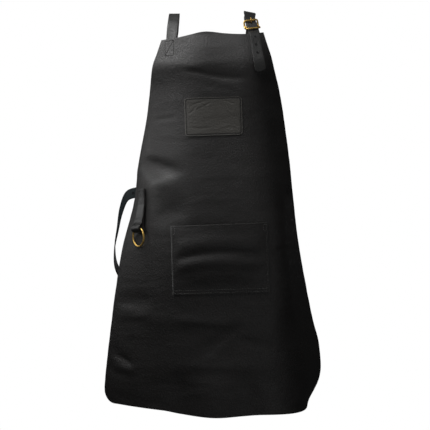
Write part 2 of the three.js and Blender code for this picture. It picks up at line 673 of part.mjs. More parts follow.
const apron = new THREE.Group();
apron.add(piece("apron_panel", apronPanel(), leather));
apron.add(piece("pocket", pocket(), leather));
apron.add(piece("badge", badge(), badgeLeather));
apron.add(piece("neck_strap", neckStrap(), strapLeather));
apron.add(piece("neck_buckle_tab", neckTab(), strapLeather));
apron.add(piece("tool_tab", toolTab(), strapLeather));
apron.add(piece("waist_strap", waistStrap(), strapLeather));
apron.add(piece("waist_tab", waistTab(), strapLeather));
apron.add(neckGroup);
apron.add(toolGroup);
apron.add(waistGroup);

export default apron;
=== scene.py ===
"""Leather apron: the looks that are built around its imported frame.

Tables and sizes are in millimetres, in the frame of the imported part, and meshes are in metres.
"""

import logging
import math
from dataclasses import dataclass, field
from enum import Enum
from typing import Callable, Sequence

import bmesh
import bpy
import numpy as np
from mathutils import Matrix, Vector, noise


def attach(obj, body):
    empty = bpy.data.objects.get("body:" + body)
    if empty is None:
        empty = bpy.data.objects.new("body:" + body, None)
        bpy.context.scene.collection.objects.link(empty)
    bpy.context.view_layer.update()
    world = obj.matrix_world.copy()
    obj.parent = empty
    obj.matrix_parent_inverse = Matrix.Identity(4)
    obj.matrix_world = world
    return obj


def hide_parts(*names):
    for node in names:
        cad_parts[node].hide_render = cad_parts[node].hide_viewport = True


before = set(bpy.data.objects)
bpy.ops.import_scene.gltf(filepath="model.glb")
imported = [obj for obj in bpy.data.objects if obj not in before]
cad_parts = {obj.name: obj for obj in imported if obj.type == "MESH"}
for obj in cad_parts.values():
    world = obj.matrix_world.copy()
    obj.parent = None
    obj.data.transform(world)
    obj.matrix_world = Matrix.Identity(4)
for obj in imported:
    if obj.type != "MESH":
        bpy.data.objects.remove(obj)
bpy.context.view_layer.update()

LOG = logging.getLogger("apron")
MM = 0.001
CREASE_FADE = 0.3
CREASE_LIP_AT = 1.9
LUMP_WIDTH = 58.0
LUMP_HEIGHT = 24.0
Placer = Callable[[np.ndarray, np.ndarray, np.ndarray], np.ndarray]


class Body(Enum):
    """The frame's bodies that pieces ride on."""

    APRON = "apron"
    RING = "ring"


class Slot(Enum):
    """The record's material slots."""

    LEATHER = "leather"
    STRAP = "strap_leather"
    BADGE = "badge_leather"
    BRASS = "brass"


@dataclass(frozen=True)
class Section:
    """How the panel lies at one drop below the bib's top edge."""

    drop: float
    left: float
    right: float
    turn_left: float
    turn_right: float
    bend_from: float
    bend_to: float
    front: float
    rise: float


@dataclass(frozen=True)
class Fold:
    """A ridge, or a hollow where its height is negative, in a piece of hide."""

    across: float
    drop: float
    slope: float
    length: float
    width: float
    height: float
    arch: float = 0.0


@dataclass(frozen=True)
class Crease:
    """A narrow line sunk into a hide along a path of flat places, with a soft lip on its upper side."""

    path: tuple[tuple[float, float], ...]
    width: float
    depth: float
    lip: float = 0.0


@dataclass(frozen=True)
class Spot:
    """A place on the panel, how far a strap's middle stands off it, and how far the strap flares to the front."""

    across: float
    drop: float
    stand_off: float
    flare: float = 0.0


@dataclass(frozen=True)
class Waypoint:
    """A point of a strap's open run and the way that its outer face looks."""

    x: float
    y: float
    z: float
    face_x: float
    face_y: float
    face_z: float


SECTIONS = (
    Section(0, 121, 116.3, 28, 16, 0.3, 1, 30, 0.058),
    Section(36, 133, 129.3, 30, 26, 0.36, 1, 17, 0.05),
    Section(74, 147, 151.2, 37, 46, 0.4, 0.92, 8, 0.04),
    Section(120, 162, 175.2, 52, 47, 0.3, 0.76, 11, 0.03),
    Section(180, 178, 197.5, 62, 52, 0.22, 0.78, 14, 0.028),
    Section(290, 205, 226.2, 65, 60, 0.22, 0.82, 8, 0.034),
    Section(370, 220, 248.6, 69, 66, 0.26, 0.8, 3, 0.04),
    Section(480, 242, 276, 60, 68, 0.36, 0.7, 0, 0.038),
    Section(600, 256, 304, 53, 66, 0.36, 0.68, 3, 0.03),
    Section(670, 263, 316, 51, 63, 0.3, 0.72, 5, 0.013),
    Section(725, 268, 324.5, 49, 60, 0.26, 0.76, 6, 0),
    Section(800, 275, 328.5, 48, 65, 0.26, 0.83, 5, -0.015),
    Section(871, 278, 322, 47, 91, 0.34, 0.914, 4, -0.03),
)

HEM_SHARES = (-1, -0.8, -0.42, -0.27, 0, 0.2, 0.36, 0.65, 1)
HEM_LIFTS = (12.5, 14.6, 11, 5, 0, 4, 9, 12, 18)

TOP_SHARES = (-1, -0.7, -0.44, -0.25, -0.13, 0, 0.23, 0.51, 0.71, 1)
TOP_FALLS = (4.4, 3.8, -0.4, -4.1, -4.9, -3.3, 1, 4.4, 4.6, 1.8)

MAIN_FOLDS = (
    Fold(-30, 14, 90, 120, 44, 5),
    Fold(-78, 70, 7, 190, 17, 2.4),
    Fold(-2, 93, 10, 165, 9, -2),
    Fold(-110, 120, 0, 110, 30, -1.2),
    Fold(-124, 301, 14, 104, 15, -4.6),
    Fold(-126, 344, -5, 96, 27, 4.6),
    Fold(-100, 405, -20, 80, 22, -2.4),
    Fold(-190, 602, 4, 100, 17, -2.6),
    Fold(-184, 634, 3, 90, 16, 2),
    Fold(-24, 652, 2, 210, 17, 2.4),
    Fold(15, 694, -35, 100, 14, -2.8),
    Fold(-224, 738, 33, 66, 14, -2.6),
    Fold(-212, 766, 20, 66, 15, 2),
    Fold(14, 754, 0, 160, 17, 2.4),
    Fold(98, 704, 12, 80, 17, -2.4),
    Fold(4, 840, 90, 130, 44, 6),
    Fold(78, 840, 90, 120, 32, -5),
    Fold(-80, 836, 90, 120, 36, -5),
)

POCKET_FOLDS = (
    Fold(0, -40, 0, 250, 17, 2.4, 16),
    Fold(0, -15, 0, 250, 10, -3.2, 21),
    Fold(0, 3, 0, 250, 11, 0.8, 22),
    Fold(0, 26, 0, 250, 14, -1.8, 20),
)

HIDE_CREASES = (
    Crease(((-76, 82), (-40, 91), (6, 101), (46, 107), (84, 106)), 5, 1.4, 0.6),
    Crease(((-24, 113), (-7, 125), (12, 114)), 4, 0.8, 0.2),
    Crease(((-10, 125), (34, 130), (66, 143)), 5, 0.6, 0.3),
    Crease(((-152, 192), (-113, 190), (-80, 190)), 5, 1.1, 0.3),
    Crease(((-191, 277), (-133, 290), (-80, 307)), 8, 0.9, 0.4),
    Crease(((-180, 306), (-142, 337), (-120, 336), (-86, 325)), 9, -0.9),
    Crease(((-135, 402), (-87, 406), (-50, 414)), 11, 0.8),
    Crease(((130, 501), (170, 497), (206, 501)), 6, 0.8, 0.3),
    Crease(((-252, 612), (-200, 615), (-150, 622)), 8, 1.0),
    Crease(((-248, 645), (-198, 643), (-146, 643)), 8, -1.1),
    Crease(((-104, 645), (-29, 655), (54, 665)), 8, -0.9),
    Crease(((58, 669), (16, 703), (-28, 740)), 8, 0.9, 0.2),
    Crease(((50, 682), (88, 690), (128, 699)), 9, -1.0),
    Crease(((118, 708), (141, 720), (168, 738)), 9, 1.1),
    Crease(((-256, 737), (-215, 747), (-180, 762)), 6, 1.3, 0.3),
    Crease(((-256, 767), (-212, 770), (-176, 773)), 8, -1.1),
    Crease(((-56, 753), (0, 759), (58, 756)), 8, -0.8),
    Crease(((-170, 236), (-60, 245), (24, 240)), 6, 0.35),
    Crease(((-80, 377), (-14, 368), (70, 374)), 6, 0.35),
    Crease(((-40, 334), (27, 341), (90, 336)), 6, 0.4),
    Crease(((-236, 560), (-170, 566), (-120, 560)), 6, 0.4),
    Crease(((50, 607), (110, 612), (180, 606)), 6, 0.4),
    Crease(((-230, 700), (-121, 697), (-40, 706)), 6, 0.4),
    Crease(((-160, 800), (-75, 800), (10, 806)), 6, 0.4),
)

# Painted sheen: pale colour laid on folds at the chest and the waist where they face the light.
PAINTED_SHEEN_FOLDS = (
    Fold(-96, 61, 8, 130, 9, 0.14),
    Fold(-166, 317, 40, 62, 10, 0.13),
    Fold(-116, 331, -18, 66, 10, 0.2),
    Fold(-142, 350, 84, 70, 15, 0.12),
)

BADGE_CREASES = (
    Crease(((-56, -24), (-38, -30), (-14, -37)), 2.2, 0.5, 0.25),
    Crease(((-44, -13), (-24, -23), (0, -34)), 2.2, 0.45, 0.25),
    Crease(((-32, -33), (-20, -25), (-12, -12)), 2.0, 0.35, 0.2),
    Crease(((-58, -6), (-46, -14), (-38, -26)), 2.0, 0.35, 0.2),
    Crease(((18, -38), (36, -32), (54, -24)), 2.2, 0.4, 0.2),
    Crease(((-56, 22), (-30, 27), (-6, 25)), 2.4, 0.3, 0.15),
    Crease(((10, 30), (34, 26), (56, 29)), 2.4, 0.3, 0.15),
    Crease(((30, -10), (44, 0), (56, 3)), 2.2, 0.3, 0.15),
)

NECK_SEWN = (Spot(-102, 46, -4.5), Spot(-101, 26, -4.5), Spot(-99, 8, -4.5))

NECK_RUN = (
    Waypoint(-93.6, -134, 26, -0.14, -0.84, 0.5),
    Waypoint(-91.8, -119, 46, -0.1, -0.78, 0.6),
    Waypoint(-91, -102, 59, -0.06, -0.6, 0.78),
    Waypoint(-91.4, -75, 67, 0, 0, 1),
    Waypoint(-93.5, -44, 58, -0.06, 0.56, 0.78),
    Waypoint(-96, -25, 38, -0.16, 0.84, 0.5),
    Waypoint(-96.5, -11, 16, -0.24, 0.94, 0.26),
    Waypoint(-62, -1, -2, -0.12, 0.98, 0.14),
    Waypoint(0, 1.2, 0, 0, 1, 0.1),
    Waypoint(56, -1, 4, 0.12, 0.98, 0.14),
    Waypoint(87, -9, 20, 0.2, 0.94, 0.26),
    Waypoint(92, -24, 42, 0.2, 0.84, 0.5),
    Waypoint(89, -44, 62, 0.2, 0.56, 0.78),
    Waypoint(85, -75, 71, 0.2, 0, 0.98),
    Waypoint(87, -109, 61, 0.14, -0.62, 0.76),
)

BUCKLE_THREAD = ((20, -2.4), (11.9, -3.2), (7, -4.4), (3, -4.9), (-3, -4.9), (-7, -4.6), (-11.9, -3.8))

TONGUE_RUN = (
    (-2, -1.6),
    (-2.55, 0),
    (-1.8, 1.8),
    (0, 2.55),
    (1.8, 1.8),
    (3, 0),
    (4.8, -2.8),
    (7.9, -9),
    (11.9, -11.9),
    (15.2, -12.2),
)

NECK_FREE_END = (
    Spot(95, 10, 4),
    Spot(97.5, 30, 3.2, 0.2),
    Spot(99.7, 48, 4, 0.4),
    Spot(102.9, 68, 5, 0.6),
    Spot(105.5, 84, 5.6, 0.6),
    Spot(106.2, 88, 5.7, 0.6),
    Spot(106.6, 90.6, 5.7, 0.6),
    Spot(106.8, 91.6, 5.7, 0.6),
    Spot(106.9, 92, 5.7, 0.6),
)

NECK_TAB_LINE = (Spot(99, 44, -6), Spot(97.5, 24, -6.2), Spot(95, 7, -7))
NECK_TAB_RISE = (
    Waypoint(91.2, -147.4, 16.8, 0.14, -0.83, 0.52),
    Waypoint(88.6, -142.9, 25.3, 0.12, -0.82, 0.54),
)

TOOL_TAB_LINE = (
    Spot(-176, 347, 3.1),
    Spot(-176, 360, 3.1),
    Spot(-175.6, 376, 3.5),
    Spot(-175.2, 392, 4.8),
    Spot(-174.9, 409, 7),
    Spot(-174.2, 438, 11.6),
)

WAIST_TAB_LINE = (
    Spot(-104, 361, -4.6),
    Spot(-122, 360.5, -4.6),
    Spot(-136, 360, -4.9),
    Spot(-149, 359, -6.4),
    Spot(-160, 358, -6.9),
)

WAIST_FREE_END = (
    Spot(-62, 362, -12),
    Spot(-62.4, 362, -12),
    Spot(-63.4, 362, -12),
    Spot(-66, 362, -12),
    Spot(-78, 362, -12),
    Spot(-104, 361.6, -12.8),
    Spot(-132, 360.6, -13.4),
)
WAIST_EDGE = (Spot(-194, 353, -9), Spot(-212, 352, -8.4))

WAIST_RUN = (
    Waypoint(-203, -72, -362.5, -0.86, -0.5, 0.08),
    Waypoint(-220, -48, -396, -0.92, -0.38, 0.04),
    Waypoint(-230.5, -28, -442, -0.98, -0.18, 0),
    Waypoint(-240, -8, -492, -1, -0.03, -0.02),
    Waypoint(-236, 20, -541, -0.97, 0.2, -0.1),
    Waypoint(-194, 54, -596, -0.66, 0.68, -0.3),
    Waypoint(-122, 82, -630, -0.34, 0.84, -0.4),
    Waypoint(-36, 94, -638, -0.1, 0.88, -0.46),
    Waypoint(48, 92, -616, 0.16, 0.88, -0.44),
    Waypoint(122, 76, -558, 0.48, 0.8, -0.34),
    Waypoint(172, 50, -478, 0.8, 0.56, -0.2),
    Waypoint(190, 20, -412, 0.94, 0.32, -0.08),
)
WAIST_SEWN = (Spot(238, 372, -6.5), Spot(222, 364, -5.4), Spot(206, 360, -5))


def smooth_column(places: Sequence[float], values: Sequence[float], at: np.ndarray) -> np.ndarray:
    """Reads a table's column on a smooth curve through its rows.

    Args:
        places: where each row lies.
        values: the column's value in each row.
        at: the places to read.

    Returns:
        One value for each place.
    """
    xs = np.asarray(places, float)
    ys = np.asarray(values, float)
    last = len(xs) - 1
    before = np.maximum(np.arange(last + 1) - 1, 0)
    after = np.minimum(np.arange(last + 1) + 1, last)
    slopes = (ys[after] - ys[before]) / (xs[after] - xs[before])
    spot = np.clip(at, xs[0], xs[-1])
    i = np.clip(np.searchsorted(xs, spot) - 1, 0, last - 1)
    span = xs[i + 1] - xs[i]
    t = (spot - xs[i]) / span
    ease = t * t * (3 - 2 * t)
    start_pull = t * (1 - t) ** 2 * span * slopes[i]
    end_pull = t * t * (t - 1) * span * slopes[i + 1]
    return ys[i] + ease * (ys[i + 1] - ys[i]) + start_pull + end_pull


def smooth_step(value: np.ndarray, low: np.ndarray | float, high: np.ndarray | float) -> np.ndarray:
    """Eases from 0 at low to 1 at high."""
    t = np.clip((value - low) / (high - low), 0, 1)
    return t * t * (3 - 2 * t)


def fold_lift(folds: Sequence[Fold], across: np.ndarray, drop: np.ndarray) -> np.ndarray:
    """Adds up how far a table of folds lifts the hide.

    Args:
        folds: the ridges and hollows.
        across: flat distances across.
        drop: flat distances down.

    Returns:
        The lift at each place, in millimetres.
    """
    lift = np.zeros(np.broadcast(across, drop).shape)
    for fold in folds:
        cos, sin = math.cos(math.radians(fold.slope)), math.sin(math.radians(fold.slope))
        dx, dy = across - fold.across, drop - fold.drop
        along = (dx * cos + dy * sin) / (fold.length / 2)
        aside = (dy * cos - dx * sin - fold.arch * along * along) / fold.width
        lift = lift + fold.height * np.exp(-aside * aside - along**4)
    return lift


def crease_lift(creases: Sequence[Crease], across: np.ndarray, drop: np.ndarray) -> np.ndarray:
    """Adds up how far a table of creases lifts the hide.

    Args:
        creases: the pressed lines.
        across: flat distances across.
        drop: flat distances down.

    Returns:
        The lift at each place, in millimetres.
    """
    lift = np.zeros(np.broadcast(across, drop).shape)
    for crease in creases:
        nearest, above, share = np.full(lift.shape, np.inf), np.zeros(lift.shape), np.zeros(lift.shape)
        runs = [math.dist(start, end) for start, end in zip(crease.path, crease.path[1:])]
        for i, (start, run) in enumerate(zip(crease.path, runs)):
            way = ((crease.path[i + 1][0] - start[0]) / run, (crease.path[i + 1][1] - start[1]) / run)
            dx, dy = across - start[0], drop - start[1]
            along = np.clip(dx * way[0] + dy * way[1], 0, run)
            gap = np.hypot(dx - along * way[0], dy - along * way[1])
            closer = gap < nearest
            above = np.where(closer, np.sign(dx * way[1] - dy * way[0]) * gap, above)
            share = np.where(closer, (sum(runs[:i]) + along) / sum(runs), share)
            nearest = np.where(closer, gap, nearest)
        fade = smooth_step(share, 0, CREASE_FADE) * smooth_step(1 - share, 0, CREASE_FADE)
        lip = crease.lip * np.exp(-((above / crease.width - CREASE_LIP_AT) ** 2))
        lift = lift + fade * (lip - crease.depth * np.exp(-((nearest / crease.width) ** 2)))
    return lift


def hide_lumps(across: np.ndarray, drop: np.ndarray) -> np.ndarray:
    """Gives the low natural lumps of a hide, wider across than down.

    Args:
        across: flat distances across.
        drop: flat distances down.

    Returns:
        The lumps, mostly from -1 to 1.
    """
    spots = zip(across.ravel() / LUMP_WIDTH, drop.ravel() / LUMP_HEIGHT)
    lumps = [noise.fractal(Vector((x, y, 0.0)), 0.9, 2.0, 3) for x, y in spots]
    return np.array(lumps).reshape(across.shape)


def corner_inset(radius: float, from_end: np.ndarray) -> np.ndarray:
    """How far a round corner takes a straight edge in, at a distance before the corner's end."""
    back = np.clip(radius - from_end, 0, radius)
    return radius - np.sqrt(np.maximum(radius * radius - back * back, 0))


@dataclass(frozen=True)
class Drape:
    """The panel's hang: where a place on the flat hide lies in the frame."""

    front: float = -190.0
    bib_top: float = 6.0
    left_bend: float = 1.6
    steps: int = 16
    creases: tuple[Crease, ...] = ()
    lumps: float = 0.0

    def place(self, across: np.ndarray, drop: np.ndarray, stand_off: np.ndarray) -> np.ndarray:
        """Finds points on the panel's outer face, or standing off from it.

        Args:
            across: flat distances across.
            drop: flat distances down.
            stand_off: distances out of the face.

        Returns:
            One point in each row, in millimetres.
        """
        across, drop, stand_off = np.broadcast_arrays(
            np.asarray(across, float), np.asarray(drop, float), np.asarray(stand_off, float)
        )
        drops = [row.drop for row in SECTIONS]

        def column(key: str) -> np.ndarray:
            """Reads one column of the panel's sections."""
            return smooth_column(drops, [getattr(row, key) for row in SECTIONS], drop)

        left = across < 0
        reach = np.where(left, column("left"), column("right"))
        turn = np.radians(np.where(left, column("turn_left"), column("turn_right")))
        bend_from, bend_to = column("bend_from"), column("bend_to")

        def heading_at(run: np.ndarray) -> np.ndarray:
            """How far the hide has turned back at a distance from its middle."""
            share = run / reach
            return turn * np.where(left, share**self.left_bend, smooth_step(share, bend_from, bend_to))

        side = np.where(left, -1.0, 1.0)
        run = np.abs(across)
        step = run / self.steps
        x = np.zeros_like(run)
        depth = np.zeros_like(run)
        for i in range(self.steps):
            heading = heading_at((i + 0.5) * step)
            x += np.cos(heading) * step
            depth += np.sin(heading) * step
        heading = heading_at(run)
        out = stand_off + fold_lift(MAIN_FOLDS, across, drop) + crease_lift(self.creases, across, drop)
        if self.lumps:
            out = out + self.lumps * hide_lumps(across, drop)
        return np.stack(
            (
                side * (x + np.sin(heading) * out),
                self.front + column("front") + depth - np.cos(heading) * out,
                self.bib_top - drop + column("rise") * across,
            ),
            axis=-1,
        )

    def outward(self, across: float, drop: float, stand_off: float) -> tuple[np.ndarray, np.ndarray]:
        """Finds one point and the way out of the panel there.

        Args:
            across: flat distance across.
            drop: flat distance down.
            stand_off: distance out of the face.

        Returns:
            The point, and a unit vector.
        """
        near = self.place(
            np.array([across, across + 1, across - 1, across, across]),
            np.array([drop, drop, drop, drop - 1, drop + 1]),
            np.full(5, stand_off),
        )
        out = np.cross(near[1] - near[2], near[3] - near[4])
        return near[0], out / np.linalg.norm(out)


FRAME_DRAPE = Drape()
HIDE_DRAPE = Drape(creases=HIDE_CREASES, lumps=0.4)


@dataclass(frozen=True)
class Place:
    """A spot in the frame with the ways across it, up along it and out of it."""

    point: np.ndarray
    right: np.ndarray
    up: np.ndarray
    out: np.ndarray

    def at(self, aside: float, back: float, up: float) -> np.ndarray:
        """Finds a point by its distances across, behind and up from the spot."""
        return self.point + self.right * aside - self.out * back + self.up * up

    def matrix(self) -> Matrix:
        """Gives the spot as a transform in metres, with X across, Y to the back and Z up."""
        turn = Matrix([self.right, -self.out, self.up]).transposed().to_4x4()
        return Matrix.Translation(Vector(self.point * MM)) @ turn


@dataclass(frozen=True)
class RouteRow:
    """One point of a strap's middle line and the way that its outer face looks."""

    point: np.ndarray
    out: np.ndarray


def open_row(way: Waypoint) -> RouteRow:
    """Makes a route row from a waypoint."""
    return RouteRow(np.array((way.x, way.y, way.z), float), np.array((way.face_x, way.face_y, way.face_z)))


def panel_row(spot: Spot, facing: float = 1.0) -> RouteRow:
    """Makes a route row that lies along the panel.

    Args:
        spot: the place on the panel.
        facing: 1 where the outer face looks to the panel's front, and -1 where it looks to its back.

    Returns:
        The row.
    """
    point, out = FRAME_DRAPE.outward(spot.across, spot.drop, spot.stand_off)
    out = out * (1 - spot.flare) + np.array((0.0, -spot.flare, 0.0))
    return RouteRow(point, out * facing)


def spline(points: np.ndarray, share: np.ndarray) -> np.ndarray:
    """Follows a smooth curve through points whose pull depends on their spacing.

    Args:
        points: the points, one in each row.
        share: how far along the list to read, from 0 to 1.

    Returns:
        One point for each share.
    """
    count = len(points)
    padded = np.vstack((2 * points[0] - points[1], points, 2 * points[-1] - points[-2]))
    place = np.clip(share, 0, 1) * (count - 1)
    i = np.minimum(place.astype(int), count - 2)
    t = (place - i)[:, None]
    p0, p1, p2, p3 = (padded[i + k] for k in range(4))
    d0, d1, d2 = (np.sqrt(np.linalg.norm(b - a, axis=1))[:, None] for a, b in ((p0, p1), (p1, p2), (p2, p3)))
    d1 = np.where(d1 < 1e-4, 1.0, d1)
    d0 = np.where(d0 < 1e-4, d1, d0)
    d2 = np.where(d2 < 1e-4, d1, d2)
    pull1 = ((p1 - p0) / d0 - (p2 - p0) / (d0 + d1) + (p2 - p1) / d1) * d1
    pull2 = ((p2 - p1) / d1 - (p3 - p1) / (d1 + d2) + (p3 - p2) / d2) * d1
    t2, t3 = t * t, t * t * t
    return (
        p1
        + pull1 * t
        + (3 * (p2 - p1) - 2 * pull1 - pull2) * t2
        + (2 * (p1 - p2) + pull1 + pull2) * t3
    )


class StrapRoute:
    """A strap's way through the frame, read by distance along it."""

    def __init__(self, rows: Sequence[RouteRow]) -> None:
        """Keeps the rows and measures the way through them.

        Args:
            rows: the points that the strap passes, in order.
        """
        self.points = np.array([row.point for row in rows])
        self.looks = np.array([row.out for row in rows])
        self.shares = np.linspace(0, 1, 40 * len(rows) + 1)
        line = spline(self.points, self.shares)
        steps = np.linalg.norm(np.diff(line, axis=0), axis=1)
        self.distances = np.concatenate(([0.0], np.cumsum(steps)))

    @property
    def length(self) -> float:
        """The strap's length in millimetres."""
        return float(self.distances[-1])

    def distance_of_row(self, index: int) -> float:
        """How far along the strap one of its rows lies."""
        return float(np.interp(index / (len(self.points) - 1), self.shares, self.distances))

    def place(self, across: np.ndarray, along: np.ndarray, lift: np.ndarray) -> np.ndarray:
        """Finds points by distance across the strap, along it and out of its middle.

        Args:
            across: distances to the side.
            along: distances along.
            lift: distances out of the middle.

        Returns:
            One point in each row, in millimetres.
        """
        across, along, lift = np.broadcast_arrays(
            np.asarray(across, float), np.asarray(along, float), np.asarray(lift, float)
        )
        share = np.interp(along, self.distances, self.shares)
        point = spline(self.points, share)
        way = spline(self.points, np.minimum(share + 2e-4, 1)) - spline(self.points, np.maximum(share - 2e-4, 0))
        way /= np.linalg.norm(way, axis=1, keepdims=True)
        look = spline(self.looks, share)
        look -= way * np.sum(look * way, axis=1, keepdims=True)
        look /= np.linalg.norm(look, axis=1, keepdims=True)
        return point + np.cross(way, look) * across[:, None] + look * lift[:, None]


def unit(vector: np.ndarray) -> np.ndarray:
    """Scales a vector to length 1."""
    return vector / np.linalg.norm(vector)


def fold_place(rows: Sequence[RouteRow]) -> Place:
    """Finds where a folded tab's fold lies.

    Args:
        rows: the line between the tab's two layers, which ends at the fold.

    Returns:
        The fold's middle, with the ways across it, away from the tab and out of it.
    """
    end = rows[-1]
    up = unit(end.point - rows[-2].point)
    out = unit(end.out - up * end.out.dot(up))
    return Place(end.point, np.cross(up, out), up, out)


@dataclass(frozen=True)
class StrapStock:
    """The strap leather that straps and tabs are cut from."""

    width: float = 25.0
    thickness: float = 2.4
    tab_thickness: float = 1.6
    tab_cell: float = 1.6
    edge: float = 0.45
    end_radius: float = 6.0
    hole_radius: float = 2.0
    hole_pitch: float = 20.0
    gap: float = 0.3


STOCK = StrapStock()


def folded_route(rows: Sequence[RouteRow], fold_radius: float, room: float) -> StrapRoute:
    """Makes the way of a tab that runs out along a line, round a fold at its end, and back.

    Args:
        rows: the line between the tab's two layers.
        fold_radius: the fold's radius to the middle of the tab's thickness.
        room: the gap between the two layers.

    Returns:
        The whole route.
    """
    layer = (STOCK.tab_thickness + room) / 2
    place = fold_place(rows)

    def fold_row(degrees: float) -> RouteRow:
        """Makes a row on the fold.

        Args:
            degrees: the row's angle from the tab's end.

        Returns:
            The row.
        """
        angle = math.radians(degrees)
        look = place.up * math.cos(angle) + place.out * math.sin(angle)
        return RouteRow(place.point + look * fold_radius, look)

    def neck(side: float) -> RouteRow:
        """A row where a layer draws in from the fold."""
        back = place.point - place.up * (1.5 * fold_radius)
        return RouteRow(back + place.out * (side * (layer + 0.22 * fold_radius)), place.out * side)

    out = [RouteRow(row.point + row.out * layer, row.out) for row in rows[:-1]]
    home = [RouteRow(row.point - row.out * layer, -row.out) for row in reversed(rows[:-1])]
    fold = [fold_row(degrees) for degrees in (115, 75, 38, 0, -38, -75, -115)]
    return StrapRoute([*out, neck(1), *fold, neck(-1), *home])


class ShaderGraph:
    """A small helper that adds and links shader nodes in one tree."""

    def __init__(self, tree: bpy.types.NodeTree) -> None:
        """Starts with an empty tree."""
        self.tree = tree
        tree.nodes.clear()

    def add(self, kind: str, inputs: dict | None = None, **settings: object) -> bpy.types.Node:
        """Adds a node.

        Args:
            kind: the node's type name.
            inputs: values or sockets for its inputs, by name or index.
            settings: the node's own properties.

        Returns:
            The new node.
        """
        node = self.tree.nodes.new(kind)
        for name, value in settings.items():
            setattr(node, name, value)
        for key, value in (inputs or {}).items():
            if isinstance(value, bpy.types.NodeSocket):
                self.tree.links.new(value, node.inputs[key])
            else:
                node.inputs[key].default_value = value
        return node

    def math(self, operation: str, a: object, b: object = 0.0, clamp: bool = False) -> bpy.types.NodeSocket:
        """Adds a math node and gives its result."""
        node = self.add("ShaderNodeMath", {0: a, 1: b}, operation=operation, use_clamp=clamp)
        return node.outputs[0]

    def spread(self, value: object, low: float, high: float, to_low: float, to_high: float) -> bpy.types.NodeSocket:
        """Maps a value from one range to another and gives the result."""
        ranges = {"Value": value, "From Min": low, "From Max": high, "To Min": to_low, "To Max": to_high}
        return self.add("ShaderNodeMapRange", ranges).outputs["Result"]

    def blend(self, share: object, first: object, second: object) -> bpy.types.NodeSocket:
        """Mixes two colours and gives the result."""
        node = self.add("ShaderNodeMix", {0: share, 6: first, 7: second}, data_type="RGBA")
        return node.outputs[2]

    def surface(self, inputs: dict) -> None:
        """Ends a material's tree with one Principled surface."""
        skin = self.add("ShaderNodeBsdfPrincipled", inputs)
        self.add("ShaderNodeOutputMaterial", {"Surface": skin.outputs["BSDF"]})


def new_material(name: str) -> tuple[bpy.types.Material, ShaderGraph]:
    """Starts a material.

    Args:
        name: the material's name.

    Returns:
        The material, and a helper for its empty tree.
    """
    material = bpy.data.materials.new(name)
    material.use_nodes = True
    return material, ShaderGraph(material.node_tree)


def shader_group(
    name: str, inputs: dict[str, float], outputs: Sequence[str]
) -> tuple[bpy.types.NodeTree, ShaderGraph]:
    """Starts a shader node group.

    Args:
        name: the group's name.
        inputs: its number inputs and their first values, after a Vector.
        outputs: its number outputs.

    Returns:
        The group's tree, and a helper for it.
    """
    tree = bpy.data.node_groups.new(name, "ShaderNodeTree")
    tree.interface.new_socket("Vector", in_out="INPUT", socket_type="NodeSocketVector")
    for key, value in inputs.items():
        socket = tree.interface.new_socket(key, in_out="INPUT", socket_type="NodeSocketFloat")
        socket.default_value = value
    for key in outputs:
        tree.interface.new_socket(key, in_out="OUTPUT", socket_type="NodeSocketFloat")
    return tree, ShaderGraph(tree)


